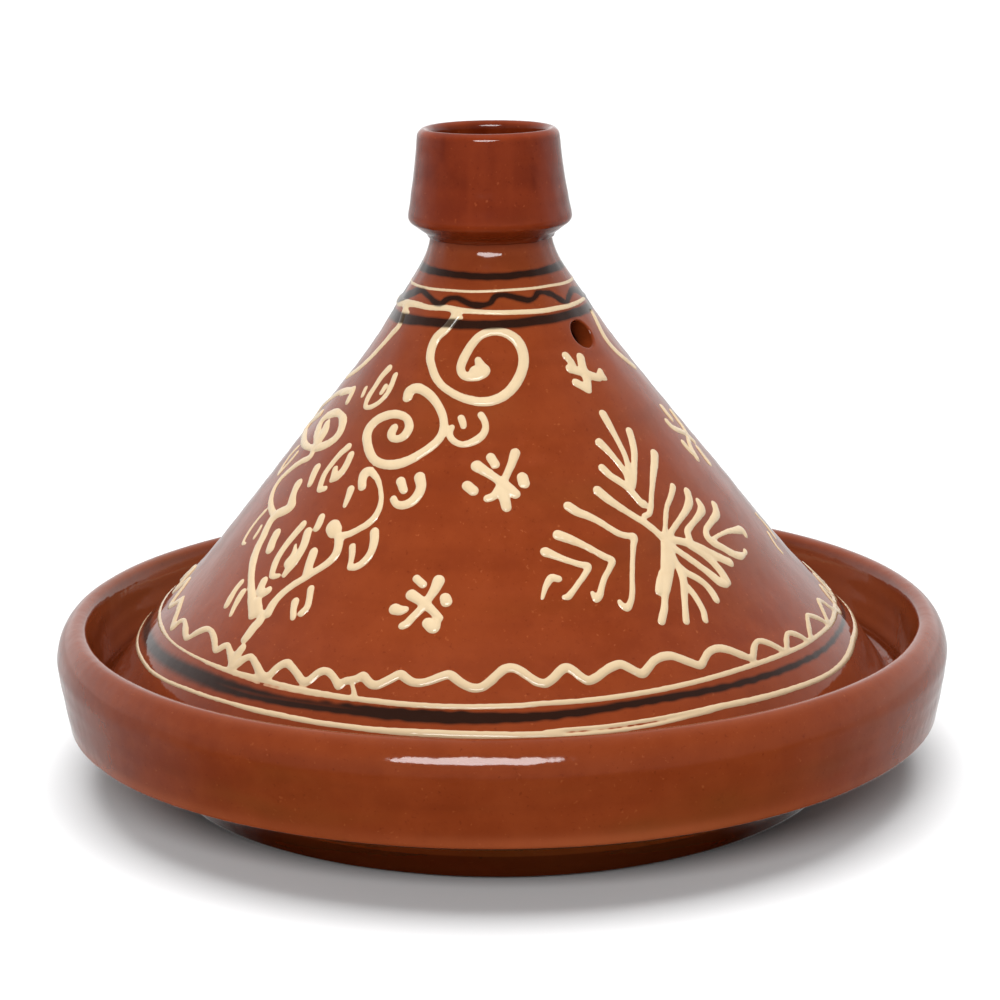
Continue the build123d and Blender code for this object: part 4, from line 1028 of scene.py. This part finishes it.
m_lid = glazed("glaze_lid", with_ink=True, with_bare=True)
m_dish = glazed("glaze_dish", with_ink=False, tone=(0.84, 0.86, 0.92), streaks=0.06, tints=0.60, mottle=0.34)
m_knob = glazed("glaze_knob", with_ink=False, tone=(0.73, 0.54, 0.48), streaks=0.62, tints=0.40, mottle=0.50, flecks=0.55)
m_slip = cream_slip("slip_cream")
m_bare = bare_clay("clay_bare")
for ob, m in ((lid, m_lid), (slip, m_slip), (dish, m_dish), (knob, m_knob), (base_piece, m_bare)):
    ob.data.materials.clear()
    ob.data.materials.append(m)

# ------------------------------------------------------------------ bodies
for ob, body in ((dish, "dish"), (base_piece, "dish"), (lid, "lid"), (slip, "lid"), (knob, "lid")):
    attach(ob, body)
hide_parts("dish")
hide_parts("lid")
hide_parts("lid_knob")

# ------------------------------------------------------------------ floor, light, camera
half = 9.0
fl = bpy.data.meshes.new("studio_floor")
fl.from_pydata([(-half, -half, 0), (half, -half, 0), (half, half, 0), (-half, half, 0)], [], [(0, 1, 2, 3)])
floor = bpy.data.objects.new("studio_floor", fl)
bpy.context.scene.collection.objects.link(floor)
fm, ft = new_material("floor_pale")
fn = Net(ft)
fo = fn.add("ShaderNodeOutputMaterial")
fb = fn.add("ShaderNodeBsdfPrincipled")
ft.links.new(fb.outputs[0], fo.inputs[0])
fb.inputs["Base Color"].default_value = (0.785, 0.79, 0.795, 1)
fb.inputs["Roughness"].default_value = 0.95
fb.inputs["Specular IOR Level"].default_value = 0.0
floor.data.materials.append(fm)
floor.visible_glossy = False

world = bpy.data.worlds.new("studio")
bpy.context.scene.world = world
world.use_nodes = True
bg = world.node_tree.nodes.get("Background") or world.node_tree.nodes.new("ShaderNodeBackground")
bg.inputs[0].default_value = (1.0, 1.0, 1.0, 1)
# a white room: pale walls behind and beside the pot, dimmer in front and low down
wn = Net(world.node_tree)
wdir = wn.add("ShaderNodeTexCoord").outputs["Generated"]
wsep = world.node_tree.nodes.new("ShaderNodeSeparateXYZ")
world.node_tree.links.new(wdir, wsep.inputs[0])
fa = math.radians(-VENT_TURN)
front = wn.math("ADD", wn.math("MULTIPLY", wsep.outputs[0], math.cos(fa)), wn.math("MULTIPLY", wsep.outputs[1], math.sin(fa)))
wall = wn.ramp(front, -0.98, 0.52, 1.02, 0.20)
low = wn.ramp(wsep.outputs[2], -0.22, 0.04, 0.0, 1.0)
side = wn.ramp(front, 0.50, -0.15, 0.0, 0.72)
high = wn.ramp(wsep.outputs[2], 0.22, 0.70, 1.0, 0.62)
wall = wn.math("MULTIPLY", wall, high)
side = wn.math("MULTIPLY", side, wn.ramp(wsep.outputs[2], -0.78, -0.30, 0.0, 1.0))
world.node_tree.links.new(wn.math("MULTIPLY", wall, wn.math("MAXIMUM", low, side)), bg.inputs[1])


def view_dir(turn):
    """Unit vector on the floor, turn degrees from the camera's side, + to the view's right."""
    a = math.radians(-VENT_TURN + turn)
    return Vector((math.cos(a), math.sin(a), 0))


def softbox(name, turn, distance, height, w, h, radiance, aim=(0, 0, 0.10)):
    light = bpy.data.lights.new(name, "AREA")
    light.shape = "ELLIPSE"
    light.size, light.size_y = w, h
    light.energy = radiance * math.pi * w * h * math.pi / 4
    light.color = (1, 1, 1)
    ob = bpy.data.objects.new(name, light)
    bpy.context.scene.collection.objects.link(ob)
    p = view_dir(turn) * distance
    ob.location = (p.x, p.y, height)
    d = Vector(aim) - ob.location
    ob.rotation_mode = "QUATERNION"
    ob.rotation_quaternion = d.to_track_quat("-Z", "Y")
    return ob


top = bpy.data.lights.new("top", "SUN")
top.energy = 3.35
top.angle = math.radians(52)
top_ob = bpy.data.objects.new("top", top)
bpy.context.scene.collection.objects.link(top_ob)
top_ob.location = (0, 0, 3)
top_ob.rotation_euler = (0, 0, 0)
top_ob.visible_glossy = False
softbox("key", -6, 1.75, 1.08, 1.30, 0.55, 14.0)

cam = bpy.data.cameras.new("camera")
cam.sensor_width = 36.0
cam.lens = 102.51
cam.clip_start, cam.clip_end = 0.01, 60.0
cam_ob = bpy.data.objects.new("camera", cam)
bpy.context.scene.collection.objects.link(cam_ob)
a = math.radians(-VENT_TURN)
m = (Matrix.Rotation(math.radians(90 - VENT_TURN), 4, "Z") @ Matrix.Rotation(math.radians(90 - 13.655), 4, "X")
     @ Matrix.Rotation(math.radians(-0.676), 4, "Z"))
m.translation = Vector((0.930781 * math.cos(a), 0.930781 * math.sin(a), 0.318542))
cam_ob.matrix_world = m
bpy.context.scene.camera = cam_ob

bpy.context.scene.view_settings.view_transform = "Standard"
bpy.context.scene.view_settings.look = "None"
